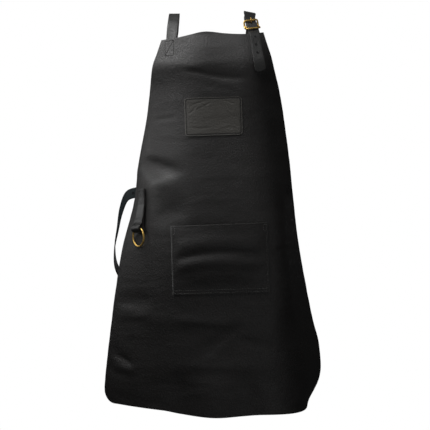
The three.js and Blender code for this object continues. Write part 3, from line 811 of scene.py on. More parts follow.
class Effects:
    """The shader groups that more than one finish uses."""

    def __init__(self) -> None:
        """Builds each group once."""
        self.grain = self._grain()
        self.handling = self._handling()

    def _grain(self) -> bpy.types.NodeTree:
        """Builds the grain of a hide.

        Returns:
            A group that gives fine pebbles, a coarser break, and a mask of the lines between them.
        """
        tree, graph = shader_group("hide_grain", {"Pebbles": 800.0, "Break": 260.0}, ("Height", "Break", "Crease"))
        given = graph.add("NodeGroupInput")
        vector, pebbles, coarse = (given.outputs[key] for key in ("Vector", "Pebbles", "Break"))
        wander = graph.add("ShaderNodeTexNoise", {"Vector": vector, "Scale": pebbles, "Detail": 1.0})
        bent = graph.add("ShaderNodeVectorMath", {0: wander.outputs["Color"]}, operation="SCALE")
        bent.inputs["Scale"].default_value = 0.0006
        moved = graph.add("ShaderNodeVectorMath", {0: vector, 1: bent.outputs[0]}, operation="ADD").outputs[0]
        cells = graph.add(
            "ShaderNodeTexVoronoi", {"Vector": moved, "Scale": pebbles}, feature="DISTANCE_TO_EDGE"
        )
        pebble = graph.spread(cells.outputs["Distance"], 0.0, 0.32, 0.0, 1.0)
        broken = graph.add("ShaderNodeTexNoise", {"Vector": vector, "Scale": coarse, "Detail": 3.0})
        lines = graph.add("ShaderNodeTexVoronoi", {"Vector": moved, "Scale": 70.0}, feature="DISTANCE_TO_EDGE")
        crease = graph.spread(lines.outputs["Distance"], 0.0, 0.05, 1.0, 0.0)
        patches = graph.add("ShaderNodeTexNoise", {"Vector": vector, "Scale": 18.0, "Detail": 3.0})
        crease = graph.math("MULTIPLY", crease, graph.spread(patches.outputs["Fac"], 0.48, 0.7, 0.0, 1.0))
        height = graph.math("SUBTRACT", pebble, graph.math("MULTIPLY", crease, 0.5))
        graph.add("NodeGroupOutput", {"Height": height, "Break": broken.outputs["Fac"], "Crease": crease})
        return tree

    def _handling(self) -> bpy.types.NodeTree:
        """Builds the marks of handling.

        Returns:
            A group that gives a mottle that runs across, and sparse pale scuffs.
        """
        tree, graph = shader_group("handling_marks", {"Mottle Scale": 9.0, "Scuff Scale": 30.0}, ("Mottle", "Scuff"))
        given = graph.add("NodeGroupInput")
        vector = given.outputs["Vector"]
        drawn = graph.add("ShaderNodeVectorMath", {0: vector, 1: (1.0, 1.0, 3.2)}, operation="MULTIPLY").outputs[0]
        broad = graph.add(
            "ShaderNodeTexNoise", {"Vector": drawn, "Scale": given.outputs["Mottle Scale"], "Detail": 6.0}
        )
        mottle = graph.spread(broad.outputs["Fac"], 0.3, 0.7, 0.0, 1.0)
        fine = graph.add(
            "ShaderNodeTexNoise",
            {"Vector": vector, "Scale": given.outputs["Scuff Scale"], "Detail": 6.0, "Roughness": 0.7},
        )
        scuff = graph.spread(fine.outputs["Fac"], 0.64, 0.78, 0.0, 1.0)
        graph.add("NodeGroupOutput", {"Mottle": mottle, "Scuff": scuff})
        return tree


@dataclass(frozen=True)
class HideFinish:
    """The grain side of a dyed hide."""

    name: str
    dye: tuple[float, float, float]
    worn: tuple[float, float, float]
    smooth: float
    dull: float
    pebbles: float
    relief: float
    # The pale colour of painted sheen on folds and of worn, painted-lit patch edges.
    worn_and_sheen_colour: tuple[float, float, float] = (0.19, 0.18, 0.165)
    specular: float = 0.5

    def material(self, effects: Effects) -> bpy.types.Material:
        """Builds the material.

        Args:
            effects: the shared shader groups.

        Returns:
            The new material.
        """
        material, graph = new_material(self.name)
        spot = graph.add("ShaderNodeTexCoord").outputs["Object"]
        grain = graph.add("ShaderNodeGroup", {"Vector": spot, "Pebbles": self.pebbles}, node_tree=effects.grain)
        marks = graph.add("ShaderNodeGroup", {"Vector": spot}, node_tree=effects.handling)
        worn_share = graph.math("MULTIPLY", marks.outputs["Scuff"], 0.5)
        worn_share = graph.math("ADD", worn_share, graph.math("MULTIPLY", marks.outputs["Mottle"], 0.35), clamp=True)
        colour = graph.blend(worn_share, (*self.dye, 1.0), (*self.worn, 1.0))
        rough = graph.spread(marks.outputs["Mottle"], 0.0, 1.0, self.smooth, self.dull)
        rough = graph.math("ADD", rough, graph.math("MULTIPLY", grain.outputs["Crease"], 0.15), clamp=True)
        # This attribute paints light and shade: above zero it mixes in the pale colour of painted sheen and worn
        # edges.
        wear_and_light = graph.add("ShaderNodeAttribute", attribute_name="wear_and_light").outputs["Fac"]
        painted_shade = graph.math("MULTIPLY", wear_and_light, -1.0, clamp=True)
        colour = graph.blend(graph.math("MAXIMUM", wear_and_light, 0.0, clamp=True), colour, (*self.worn_and_sheen_colour, 1.0))
        # Painted shade: near-black colour and higher roughness in seam grooves and round strap holes.
        colour = graph.blend(painted_shade, colour, (0.003, 0.003, 0.003, 1.0))
        rough = graph.math("ADD", rough, graph.math("MULTIPLY", painted_shade, 0.4), clamp=True)
        coarse = graph.add(
            "ShaderNodeBump", {"Height": grain.outputs["Break"], "Strength": self.relief, "Distance": 0.0024}
        )
        bump = graph.add(
            "ShaderNodeBump",
            {
                "Height": grain.outputs["Height"],
                "Strength": self.relief,
                "Distance": 0.00025,
                "Normal": coarse.outputs["Normal"],
            },
        )
        graph.surface(
            {
                "Base Color": colour,
                "Roughness": rough,
                "Normal": bump.outputs["Normal"],
                "Specular IOR Level": self.specular,
            }
        )
        return material


@dataclass(frozen=True)
class FibreFinish:
    """The rough flesh side or the cut edge of a hide."""

    name: str
    pale: tuple[float, float, float]
    dark: tuple[float, float, float]
    fibre_scale: float
    relief: float

    def material(self) -> bpy.types.Material:
        """Builds the material.

        Returns:
            The new material.
        """
        material, graph = new_material(self.name)
        spot = graph.add("ShaderNodeTexCoord").outputs["Object"]
        nap = graph.add("ShaderNodeTexNoise", {"Vector": spot, "Scale": self.fibre_scale, "Detail": 4.0})
        clouds = graph.add("ShaderNodeTexNoise", {"Vector": spot, "Scale": 14.0, "Detail": 3.0})
        both = graph.math("MULTIPLY", nap.outputs["Fac"], clouds.outputs["Fac"])
        colour = graph.blend(graph.spread(both, 0.15, 0.4, 0.0, 1.0), (*self.dark, 1.0), (*self.pale, 1.0))
        bump = graph.add(
            "ShaderNodeBump", {"Height": nap.outputs["Fac"], "Strength": self.relief, "Distance": 0.0006}
        )
        graph.surface(
            {
                "Base Color": colour,
                "Roughness": 0.92,
                "Normal": bump.outputs["Normal"],
                "Specular IOR Level": 0.2,
                "Sheen Weight": 0.12,
                "Sheen Roughness": 0.6,
            }
        )
        return material


@dataclass(frozen=True)
class BrassFinish:
    """Polished brass with fine scratches and a little tarnish."""

    name: str = "polished_brass"
    bright: tuple[float, float, float] = (0.92, 0.61, 0.18)
    tarnish: tuple[float, float, float] = (0.5, 0.3, 0.07)
    smooth: float = 0.27
    dull: float = 0.42
    tarnish_scale: float = 120.0
    scratch_scale: float = 700.0

    def material(self, effects: Effects) -> bpy.types.Material:
        """Builds the material.

        Args:
            effects: the shared shader groups.

        Returns:
            The new material.
        """
        material, graph = new_material(self.name)
        spot = graph.add("ShaderNodeTexCoord").outputs["Object"]
        scales = {"Mottle Scale": self.tarnish_scale, "Scuff Scale": self.scratch_scale}
        marks = graph.add("ShaderNodeGroup", {"Vector": spot, **scales}, node_tree=effects.handling)
        colour = graph.blend(
            graph.math("MULTIPLY", marks.outputs["Mottle"], 0.45), (*self.bright, 1.0), (*self.tarnish, 1.0)
        )
        rough = graph.spread(marks.outputs["Mottle"], 0.0, 1.0, self.smooth, self.dull)
        bump = graph.add(
            "ShaderNodeBump", {"Height": marks.outputs["Scuff"], "Strength": 0.12, "Distance": 0.0001}
        )
        graph.surface(
            {"Base Color": colour, "Roughness": rough, "Metallic": 1.0, "Normal": bump.outputs["Normal"]}
        )
        return material


@dataclass(frozen=True)
class ThreadFinish:
    """Waxed sewing thread with a twist."""

    name: str
    pale: tuple[float, float, float]
    dark: tuple[float, float, float]

    def material(self) -> bpy.types.Material:
        """Builds the material.

        Returns:
            The new material.
        """
        material, graph = new_material(self.name)
        spot = graph.add("ShaderNodeTexCoord").outputs["Object"]
        twist = graph.add(
            "ShaderNodeTexWave", {"Vector": spot, "Scale": 900.0, "Distortion": 2.0}, bands_direction="DIAGONAL"
        )
        colour = graph.blend(twist.outputs["Fac"], (*self.dark, 1.0), (*self.pale, 1.0))
        bump = graph.add("ShaderNodeBump", {"Height": twist.outputs["Fac"], "Strength": 0.3, "Distance": 0.0001})
        graph.surface({"Base Color": colour, "Roughness": 0.75, "Normal": bump.outputs["Normal"]})
        return material


class Finishes:
    """Every material of the apron, built once."""

    def __init__(self) -> None:
        """Builds the materials."""
        effects = Effects()
        self.panel = HideFinish(
            "panel_hide",
            (0.0118, 0.0108, 0.0104),
            (0.026, 0.0242, 0.0234),
            0.45,
            0.62,
            780.0,
            0.34,
            # The pale colour of the painted sheen on the chest and waist folds.
            (0.168, 0.17, 0.168),
        ).material(effects)
        self.strap = HideFinish(
            "strap_hide", (0.021, 0.021, 0.0204), (0.037, 0.037, 0.036), 0.42, 0.54, 1100.0, 0.2
        ).material(effects)
        self.badge = HideFinish(
            "badge_hide", (0.044, 0.0415, 0.0365), (0.082, 0.077, 0.068), 0.42, 0.56, 950.0, 0.32
        ).material(effects)
        self.tab = HideFinish(
            "tab_hide", (0.015, 0.015, 0.0146), (0.03, 0.03, 0.029), 0.3, 0.42, 1100.0, 0.2
        ).material(effects)
        # The waist strap is the same strap leather; its darker, cooler colour and weaker specular are painted shade
        # for the shadow it hangs in.
        self.waist = HideFinish(
            "shaded_waist_hide", (0.004, 0.0085, 0.01), (0.008, 0.016, 0.019), 0.52, 0.64, 1100.0, 0.2, specular=0.2
        ).material(effects)
        self.flesh = FibreFinish("flesh_side", (0.05, 0.045, 0.041), (0.02, 0.018, 0.0165), 700.0, 0.5).material()
        self.edge = FibreFinish("dyed_edge", (0.03, 0.028, 0.026), (0.014, 0.013, 0.012), 1400.0, 0.4).material()
        self.raw_edge = FibreFinish("raw_edge", (0.15, 0.145, 0.133), (0.06, 0.057, 0.052), 1400.0, 0.4).material()
        self.brass = BrassFinish().material(effects)
        self.thread = ThreadFinish("grey_thread", (0.15, 0.148, 0.141), (0.045, 0.044, 0.042)).material()
        # The thread is black; its near-black colour also stands in as painted shade of the stitch grooves on the
        # bib, badge, tab and waist seams.
        self.black_thread_and_shade = ThreadFinish("black_thread_groove_shade", (0.008, 0.008, 0.008), (0.003, 0.003, 0.003)).material()


class Blank:
    """A flat piece of hide that is cut first and then shaped."""

    def __init__(self, name: str, columns: int, rows: int, width: float, length: float) -> None:
        """Lays out a grid whose middle is at the blank's middle.

        Args:
            name: the piece's name.
            columns: how many faces it has across.
            rows: how many faces it has along.
            width: its flat width.
            length: its flat length.
        """
        self.name = name
        self.width = width
        self.length = length
        self.mesh = bmesh.new()
        bmesh.ops.create_grid(self.mesh, x_segments=columns, y_segments=rows, size=0.5)
        bmesh.ops.scale(self.mesh, vec=(width, length, 1.0), verts=self.mesh.verts)

    def punch(self, across: float, along: float, radius: float, half_length: float | None = None) -> None:
        """Cuts a round or long hole.

        Args:
            across: the hole's place across, from the middle.
            along: the hole's place along, from the middle.
            radius: half its width.
            half_length: half its length, where it isn't round.
        """
        middle = Vector((across, along, 0.0))
        nearest = min(self.mesh.verts, key=lambda vert: (vert.co - middle).length_squared)
        nearest.co = middle
        made = bmesh.ops.bevel(
            self.mesh,
            geom=[nearest],
            offset=radius,
            segments=4,
            profile=0.5,
            affect="VERTICES",
            material=-1,
        )
        stretch = (half_length or radius) / radius
        for vert in made["verts"]:
            away = (vert.co - middle).normalized() * radius
            vert.co = middle + Vector((away.x, away.y * stretch, 0.0))
        plug = [face for face in made["faces"] if len(face.verts) > 8]
        bmesh.ops.delete(self.mesh, geom=plug, context="FACES")

    def mark_wear_and_light(self, wear_and_light: Callable[[np.ndarray, np.ndarray], np.ndarray]) -> None:
        """Marks where the flat piece is made pale, by worn edges and painted sheen, or darkened as painted shade.

        Args:
            wear_and_light: gives the mark at distances across and along, above zero for pale and below it for dark.
        """
        layer = self.mesh.verts.layers.float.new("wear_and_light")
        flat = np.array([vert.co[:2] for vert in self.mesh.verts])
        for vert, value in zip(self.mesh.verts, wear_and_light(flat[:, 0], flat[:, 1])):
            vert[layer] = value

    def shape(self, place: Placer, materials: Sequence[bpy.types.Material]) -> bpy.types.Object:
        """Takes every vertex to its place and makes the object.

        Args:
            place: gives points from distances across and along and a lift of zero.
            materials: the piece's material slots.

        Returns:
            The new object, still a sheet with no thickness.
        """
        flat = np.array([vert.co[:2] for vert in self.mesh.verts])
        put = place(flat[:, 0], flat[:, 1], np.zeros(len(flat))) * MM
        spread = self.mesh.loops.layers.uv.new("flat")
        for vert, point in zip(self.mesh.verts, put):
            for loop in vert.link_loops:
                loop[spread].uv = (vert.co.x * MM, vert.co.y * MM)
            vert.co = point
        shade_smooth(self.mesh)
        return make_object(self.name, self.mesh, materials)


def shade_smooth(mesh: bmesh.types.BMesh) -> None:
    """Shades every face of a bmesh smooth."""
    for face in mesh.faces:
        face.smooth = True


def make_object(name: str, mesh: bmesh.types.BMesh, materials: Sequence[bpy.types.Material]) -> bpy.types.Object:
    """Turns a bmesh into an object of the scene.

    Args:
        name: the piece's name.
        mesh: its bmesh, which is freed.
        materials: its material slots.

    Returns:
        The new object, at the origin.
    """
    data = bpy.data.meshes.new(name)
    mesh.to_mesh(data)
    mesh.free()
    for material in materials:
        data.materials.append(material)
    made = bpy.data.objects.new(name, data)
    bpy.context.scene.collection.objects.link(made)
    return made


def give_wall(piece: bpy.types.Object, thickness: float, offset: float, edge: float) -> None:
    """Gives a sheet its wall and eases the wall's edges.

    Args:
        piece: the sheet.
        thickness: its wall.
        offset: where the sheet lies in the wall: 1 at its outer face, 0 in its middle, -1 at its inner face.
        edge: how wide the eased edge is.
    """
    wall = piece.modifiers.new("wall", "SOLIDIFY")
    wall.thickness = thickness * MM
    wall.offset = -offset
    wall.use_even_offset = False
    wall.use_rim = True
    wall.material_offset = 1
    wall.material_offset_rim = 2
    ease = piece.modifiers.new("eased_edge", "BEVEL")
    ease.width = edge * MM
    ease.segments = 2
    ease.limit_method = "ANGLE"
    ease.angle_limit = math.radians(60)
    ease.use_clamp_overlap = True


def report(piece: bpy.types.Object, body: Body, slot: Slot, *nodes: str) -> None:
    """Puts a finished piece on its body and logs it.

    Args:
        piece: the piece.
        body: the body that it rides on.
        slot: the record's material slot; not used.
        nodes: the frame's nodes that it stands for.
    """
    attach(piece, body.value)
    if nodes:
        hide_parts(*nodes)
    LOG.info("%s on %s, %d faces", piece.name, body.value, len(piece.data.polygons))


@dataclass
class Stitching:
    """A run of stitches along lines on a piece."""

    name: str
    place: Placer
    pitch: float = 5.0
    length: float = 3.9
    thread: float = 0.75
    lift: float = 0.15
    mesh: bmesh.types.BMesh = field(default_factory=bmesh.new)

    def sew(self, corners: Sequence[tuple[float, float]]) -> None:
        """Sews along straight lines between corners.

        Args:
            corners: flat places on the piece, in order.
        """
        for (x0, y0), (x1, y1) in zip(corners, corners[1:]):
            run = math.hypot(x1 - x0, y1 - y0)
            count = max(1, round(run / self.pitch))
            half = self.length / run / 2
            middles = (np.arange(count) + 0.5) / count
            for middle in middles:
                self._stitch((x0, y0), (x1, y1), middle - half, middle + half)

    def _stitch(self, start: tuple[float, float], end: tuple[float, float], low: float, high: float) -> None:
        """Lays one stitch.

        Args:
            start: the seam line's flat start.
            end: the seam line's flat end.
            low: the share of the line where the stitch starts.
            high: the share of the line where it ends.
        """
        x = np.array([start[0] + (end[0] - start[0]) * share for share in (low, high)])
        y = np.array([start[1] + (end[1] - start[1]) * share for share in (low, high)])
        ends = self.place(x, y, np.full(2, self.lift)) * MM
        above = self.place(x, y, np.full(2, self.lift + 1.0)) * MM
        along = Vector(ends[1] - ends[0])
        out = Vector(above.mean(axis=0) - ends.mean(axis=0)).normalized()
        side = out.cross(along).normalized()
        turn = Matrix((along.normalized(), side, out)).transposed().to_4x4()
        half = self.thread * MM / 2
        size = Matrix.Diagonal((along.length / 2 + half * 2 / 3, half, half, 1.0))
        spot = Matrix.Translation(Vector(ends.mean(axis=0)))
        bmesh.ops.create_uvsphere(self.mesh, u_segments=8, v_segments=6, radius=1.0, matrix=spot @ turn @ size)

    def finish(self, thread: bpy.types.Material, body: Body, slot: Slot) -> bpy.types.Object:
        """Makes the stitches one piece.

        Args:
            thread: the thread's material.
            body: the body that they ride on.
            slot: the record's slot.

        Returns:
            The new object.
        """
        shade_smooth(self.mesh)
        made = make_object(self.name, self.mesh, [thread])
        report(made, body, slot)
        return made


@dataclass
class HidePanel:
    """The apron's body: one cut of hide hung from the bib."""

    columns: int = 180
    rows: int = 262
    wall: float = 2.0
    hem_corner_left: float = 38.0
    hem_corner_right: float = 26.0
    edge: float = 0.35
    flat_size: tuple[float, float] = (0.604, 0.871)
    flat_area: float = 0.408
    drape: Drape = HIDE_DRAPE

    def cut(self, share: np.ndarray, down: np.ndarray) -> tuple[np.ndarray, np.ndarray]:
        """Finds where the cut of the hide puts a place of the square blank.

        Args:
            share: the place across, from -1 to 1.
            down: the place down, from 0 to 1.

        Returns:
            The flat distances across and down.
        """
        hem = SECTIONS[-1]
        drops = [row.drop for row in SECTIONS]
        hem_reach = np.where(share < 0, hem.left, hem.right)
        to_edge = hem_reach * (1 - np.abs(share))
        left_corner = corner_inset(self.hem_corner_left, to_edge)
        right_corner = corner_inset(self.hem_corner_right, to_edge)
        corner = np.where(share < 0, left_corner, right_corner)
        bottom = hem.drop - corner - smooth_column(HEM_SHARES, HEM_LIFTS, share)
        top = smooth_column(TOP_SHARES, TOP_FALLS, share)
        drop = top + down * (bottom - top)
        left = smooth_column(drops, [row.left for row in SECTIONS], drop)
        right = smooth_column(drops, [row.right for row in SECTIONS], drop)
        return share * np.where(share < 0, left, right), drop

    def fitted(self, x: np.ndarray, y: np.ndarray) -> tuple[np.ndarray, np.ndarray]:
        """Gives the flat distances across and down of a place of the square blank."""
        return self.cut(x * (1.15 - 0.15 * x * x), 0.5 - y)

    def place(self, x: np.ndarray, y: np.ndarray, lift: np.ndarray) -> np.ndarray:
        """Takes a place of the square blank to the hung panel."""
        return self.drape.place(*self.fitted(x, y), lift)

    def wear_and_light(self, x: np.ndarray, y: np.ndarray) -> np.ndarray:
        """How far the folds at the chest and the waist are painted pale, a painted sheen where they face the light.
        """
        return fold_lift(PAINTED_SHEEN_FOLDS, *self.fitted(x, y))

    def build(self, finishes: Finishes) -> bpy.types.Object:
        """Builds and dresses the panel.

        Args:
            finishes: the materials.

        Returns:
            The panel.
        """
        blank = Blank("apron_hide", self.columns, self.rows, 2.0, 1.0)
        blank.mark_wear_and_light(self.wear_and_light)
        panel = blank.shape(self.place, [finishes.panel, finishes.flesh, finishes.edge])
        give_wall(panel, self.wall, 1.0, self.edge)
        report(panel, Body.APRON, Slot.LEATHER, "apron_panel")
        return panel


@dataclass
class SewnPatch:
    """A piece of hide sewn flat on the panel: its sizes and its place."""

    across: float
    drop: float
    width: float
    height: float
    wall: float
    lean: float
    seam: float = 0.8
    seam_inset: float = 3.4
    edge: float = 0.35
    # How pale the edges are made, partly worn and partly painted highlight; the shares below scale it on the right,
    # top and bottom edges.
    edge_sheen_and_wear: float = 1.0
    right_share: float = 0.25
    top_share: float = 0.12
    bottom_share: float = 0.08
    # How dark painted shade makes the seam's groove.
    seam_shade: float = 0.5
    drape: Drape = HIDE_DRAPE

    def stand_off(self, aside: np.ndarray, up: np.ndarray) -> np.ndarray:
        """How far the piece stands off its seam."""
        return np.zeros(np.broadcast(aside, up).shape)

    def half_width(self, up: np.ndarray) -> np.ndarray:
        """Half the piece's width at a height from its middle."""
        return np.full(np.shape(up), self.width / 2)

    def place(self, aside: np.ndarray, up: np.ndarray, lift: np.ndarray) -> np.ndarray:
        """Takes a flat place to the piece's outer face on the panel.

        Args:
            aside: distances to the side of the piece's middle.
            up: distances above it.
            lift: distances out of the face.

        Returns:
            One point in each row, in millimetres.
        """
        across = self.across + aside - up * self.lean
        out = self.seam + self.wall + self.stand_off(aside, up) + lift
        return self.drape.place(across, self.drop - up, out)

    def fitted(self, x: np.ndarray, y: np.ndarray, lift: np.ndarray) -> np.ndarray:
        """Takes a place of the square blank to the piece, drawn in at its round corners."""
        return self.place(x * self.half_width(y) / (self.width / 2), y, lift)

    def wear_and_light(self, x: np.ndarray, y: np.ndarray) -> np.ndarray:
        """Finds how the square blank is made pale at its edges, partly worn and partly painted highlight that is
        strongest at its left one, and darkened along its seam as painted shade.

        Args:
            x: distances across the blank, from its middle.
            y: distances along it, from its middle.

        Returns:
            The marks, above zero where it is made pale and below zero where painted shade darkens it.
        """
        side = self.half_width(y) * (1 - np.abs(x) / (self.width / 2))
        end = self.height / 2 - np.abs(y)
        inside = np.minimum(side, end)
        # The left edge is made palest, a painted highlight on the side that faces the light.
        at_side = np.where(x < 0, 1.0, self.right_share)
        at_end = np.where(y > 0, self.top_share, self.bottom_share)
        strength = np.where(side < end, at_side, at_end)
        pale = strength * self.edge_sheen_and_wear * (1 - smooth_step(inside, 0.5, 2.2))
        # Painted shade darkens the seam's groove.
        return pale - self.seam_shade * np.exp(-(((inside - self.seam_inset) / 1.2) ** 2))


@dataclass
class Pocket(SewnPatch):
    """The hollow patch pocket, open at its top."""

    across: float = 15.6
    drop: float = 514.0
    width: float = 218.0
    height: float = 157.0
    wall: float = 1.8
    lean: float = 0.032
    belly: float = 14.0
    columns: int = 168
    rows: int = 120
    mouth_inset: float = 3.0
    second_seam: float = 10.0
    tack_width: float = 6.5
    tack_drop: float = 16.0

    def stand_off(self, aside: np.ndarray, up: np.ndarray) -> np.ndarray:
        """Finds how far the pocket's wall stands off: nothing at its seams, most near its mouth.

        Args:
            aside: distances to the side of the pocket's middle.
            up: distances above it.

        Returns:
            One distance for each place.
        """
        to_side = 1 - np.abs(aside) / (self.width / 2)
        to_bottom = up / self.height + 0.5
        swell = 1 - (1 - to_side) ** 2.4
        folds = smooth_step(to_side, 0.02, 0.24) * fold_lift(POCKET_FOLDS, aside, -up)
        return smooth_step(to_bottom, 0.03, 0.46) * (swell * self.belly + folds)

    def build(self, finishes: Finishes) -> bpy.types.Object:
        """Builds and dresses the pocket and its stitching.

        Args:
            finishes: the materials.

        Returns:
            The pocket.
        """
        blank = Blank("pocket_hide", self.columns, self.rows, self.width, self.height)
        blank.mark_wear_and_light(self.wear_and_light)
        pocket = blank.shape(self.fitted, [finishes.panel, finishes.flesh, finishes.raw_edge])
        give_wall(pocket, self.wall, 1.0, self.edge)
        report(pocket, Body.APRON, Slot.LEATHER, "pocket")
        half, top = self.width / 2 - self.seam_inset, self.height / 2 - self.mouth_inset
        low, inner = -self.height / 2 + self.seam_inset, -self.height / 2 + self.second_seam
        seam = Stitching("pocket_stitching", self.place, length=3.1, thread=1.0)
        seam.sew([(-half, top), (-half, low), (half, low), (half, top)])
        seam.sew([(-half, inner), (half, inner)])
        for side in (-1, 1):
            outer, tack, foot = side * half, side * (half - self.tack_width), top - self.tack_drop
            seam.sew([(outer, top), (tack, top), (tack, foot), (outer, foot)])
        seam.finish(finishes.thread, Body.APRON, Slot.LEATHER)
        return pocket


@dataclass
class Badge(SewnPatch):
    """The plain patch on the chest."""

    across: float = 1.0
    drop: float = 191.0
    width: float = 130.0
    height: float = 87.0
    wall: float = 1.4
    lean: float = 0.03
    corner: float = 8.0
    groove: float = 0.45
    seam_inset: float = 3.2
    seam_corner: float = 5.0
    edge: float = 0.3
    columns: int = 144
    rows: int = 96
    edge_sheen_and_wear: float = 0.5
    seam_shade: float = 1.0

    def half_width(self, up: np.ndarray) -> np.ndarray:
        """Half the badge's width, drawn in at its round corners."""
        return self.width / 2 - corner_inset(self.corner, self.height / 2 - np.abs(up))

    def stand_off(self, aside: np.ndarray, up: np.ndarray) -> np.ndarray:
        """Finds how far the badge's wrinkles lift it, and its seam presses it down.

        Args:
            aside: distances to the side of the badge's middle.
            up: distances above it.

        Returns:
            One distance for each place.
        """
        inside = np.minimum(self.half_width(up) - np.abs(aside), self.height / 2 - np.abs(up))
        groove = self.groove * np.exp(-(((inside - self.seam_inset) / 1.3) ** 2))
        return crease_lift(BADGE_CREASES, aside, -up) * smooth_step(inside, 3, 8) - groove

    def build(self, finishes: Finishes) -> bpy.types.Object:
        """Builds and dresses the badge and its stitching.

        Args:
            finishes: the materials.

        Returns:
            The badge.
        """
        blank = Blank("badge_hide", self.columns, self.rows, self.width, self.height)
        blank.mark_wear_and_light(self.wear_and_light)
        badge = blank.shape(self.fitted, [finishes.badge, finishes.flesh, finishes.raw_edge])
        give_wall(badge, self.wall, 1.0, self.edge)
        report(badge, Body.APRON, Slot.BADGE, "badge")
        half, top, cut = self.width / 2 - self.seam_inset, self.height / 2 - self.seam_inset, self.seam_corner
        seam = Stitching("badge_stitching", self.place, pitch=4.2, length=3.2, thread=0.7)
        seam.sew(
            [
                (-half + cut, top),
                (half - cut, top),
                (half, top - cut),
                (half, -top + cut),
                (half - cut, -top),
                (-half + cut, -top),
                (-half, -top + cut),
                (-half, top - cut),
                (-half + cut, top),
            ]
        )
        seam.finish(finishes.black_thread_and_shade, Body.APRON, Slot.BADGE)
        return badge


@dataclass
class Strap:
    """A strap or tab of hide bent along its route."""

    name: str
    route: StrapRoute
    thickness: float = STOCK.thickness
    free_start: bool = False
    free_end: bool = False
    columns: int = 6
    cell: float = 3.6
    ripple: float = 0.0

    def rippled(self, along: np.ndarray) -> np.ndarray:
        """How far handling has lifted the strap in uneven ripples, at distances from its start."""
        return self.ripple * (np.sin(along / 3.6) + 0.6 * np.sin(along / 2.3 + 1.1))

    def fitted(self, across: np.ndarray, along: np.ndarray, lift: np.ndarray) -> np.ndarray:
        """Takes a place of the flat blank to the bent strap, drawn in at its free ends.

        Args:
            across: distances across the blank.
            along: distances along it, from its middle.
            lift: distances out of the strap's middle.

        Returns:
            One point in each row, in millimetres.
        """
        distance = along + self.route.length / 2
        lift = lift + self.rippled(distance)
        half = np.full(np.shape(across), STOCK.width / 2)
        if self.free_start:
            half = half - corner_inset(STOCK.end_radius, distance)
        if self.free_end:
            half = half - corner_inset(STOCK.end_radius, self.route.length - distance)
        return self.route.place(across * half / (STOCK.width / 2), distance, lift)

    def painted_shade(
        self, across: np.ndarray, along: np.ndarray, holes: Sequence[tuple[float, float]]
    ) -> np.ndarray:
        """Finds where painted shade darkens the hide round each punched hole.

        Args:
            across: distances across the flat blank.
            along: distances along it, from its middle.
            holes: each hole's distance from the start and half its length.

        Returns:
            The marks, from -1 at a hole to 0 clear of the holes.
        """
        mark = np.zeros(len(across))
        for distance, half_length in holes:
            past = np.abs(along + self.route.length / 2 - distance) - (half_length - STOCK.hole_radius)
            away = np.hypot(across, np.maximum(past, 0))
            mark = np.minimum(mark, smooth_step(away, STOCK.hole_radius + 0.2, STOCK.hole_radius + 1.6) - 1)
        return mark

    def outer(self, across: np.ndarray, along: np.ndarray, lift: np.ndarray) -> np.ndarray:
        """Takes a place by distance from the strap's start to its outer face."""
        return self.route.place(across, along, lift + self.thickness / 2 + self.rippled(along))

    def build(
        self,
        finishes: Finishes,
        node: str,
        holes: Sequence[tuple[float, float]] = (),
        skin: bpy.types.Material | None = None,
    ) -> bpy.types.Object:
        """Builds and dresses the strap.

        Args:
            finishes: the materials.
            node: the frame's node that it stands for.
            holes: each hole's distance from the start and half its length.
            skin: the grain side's material, where it isn't the plain strap hide.

        Returns:
            The strap.
        """
        length = self.route.length
        rows = math.ceil(length / self.cell)
        blank = Blank(self.name, self.columns, rows, STOCK.width, length)
        for distance, half_length in holes:
            blank.punch(0.0, distance - length / 2, STOCK.hole_radius, half_length)
        # Darkens the hide round the holes as painted shade.
        blank.mark_wear_and_light(lambda across, along: self.painted_shade(across, along, holes))
        strap = blank.shape(self.fitted, [skin or finishes.strap, finishes.flesh, finishes.edge])
        give_wall(strap, self.thickness, 0.0, STOCK.edge)
        report(strap, Body.APRON, Slot.STRAP, node)
        return strap


def box_seam(low: float, high: float, half: float, middle: float = 0.0) -> list[tuple[float, float]]:
    """Lists the corners of a sewn box about a middle line, with one diagonal."""
    left, right = middle - half, middle + half
    return [(right, low), (left, low), (left, high), (right, high), (right, low), (left, high)]


def panel_seam(name: str) -> Stitching:
    """Starts the heavy stitching that shows on the panel over a strap's sewn end."""
    return Stitching(name, HIDE_DRAPE.place, pitch=4.4, length=3.5, thread=1.1, lift=0.3)


@dataclass
class WireTube:
    """A round wire bent along a closed or open line."""

    line: np.ndarray
    radius: float
    closed: bool
    around: int = 14

    def build(self, to_frame: Matrix) -> bmesh.types.BMesh:
        """Bends a flat grid round the line and closes it.

        Args:
            to_frame: the transform from the wire's own place to the frame.

        Returns:
            The closed wire.
        """
        count = len(self.line)
        mesh = bmesh.new()
        rows = count if self.closed else count - 1
        bmesh.ops.create_grid(mesh, x_segments=self.around, y_segments=rows, size=0.5)
        ahead = np.roll(self.line, -1, axis=0) if self.closed else np.vstack((self.line[1:], self.line[-1:]))
        behind = np.roll(self.line, 1, axis=0) if self.closed else np.vstack((self.line[:1], self.line[:-1]))
        way = ahead - behind
        way /= np.linalg.norm(way, axis=1, keepdims=True)
        for vert in mesh.verts:
            step = round((vert.co.y + 0.5) * rows)
            angle = (vert.co.x + 0.5) * 2 * math.pi
            i = step % count if self.closed else step
            side = unit(np.cross(way[i], (0.0, 1.0, 0.0001)))
            up = np.cross(side, way[i])
            vert.co = Vector((self.line[i] + self.radius * (side * math.cos(angle) + up * math.sin(angle))) * MM)
        bmesh.ops.remove_doubles(mesh, verts=mesh.verts, dist=1e-6)
        bmesh.ops.holes_fill(mesh, edges=[edge for edge in mesh.edges if edge.is_boundary])
        bmesh.ops.recalc_face_normals(mesh, faces=mesh.faces)
        bmesh.ops.transform(mesh, matrix=to_frame, verts=mesh.verts)
        shade_smooth(mesh)
        return mesh


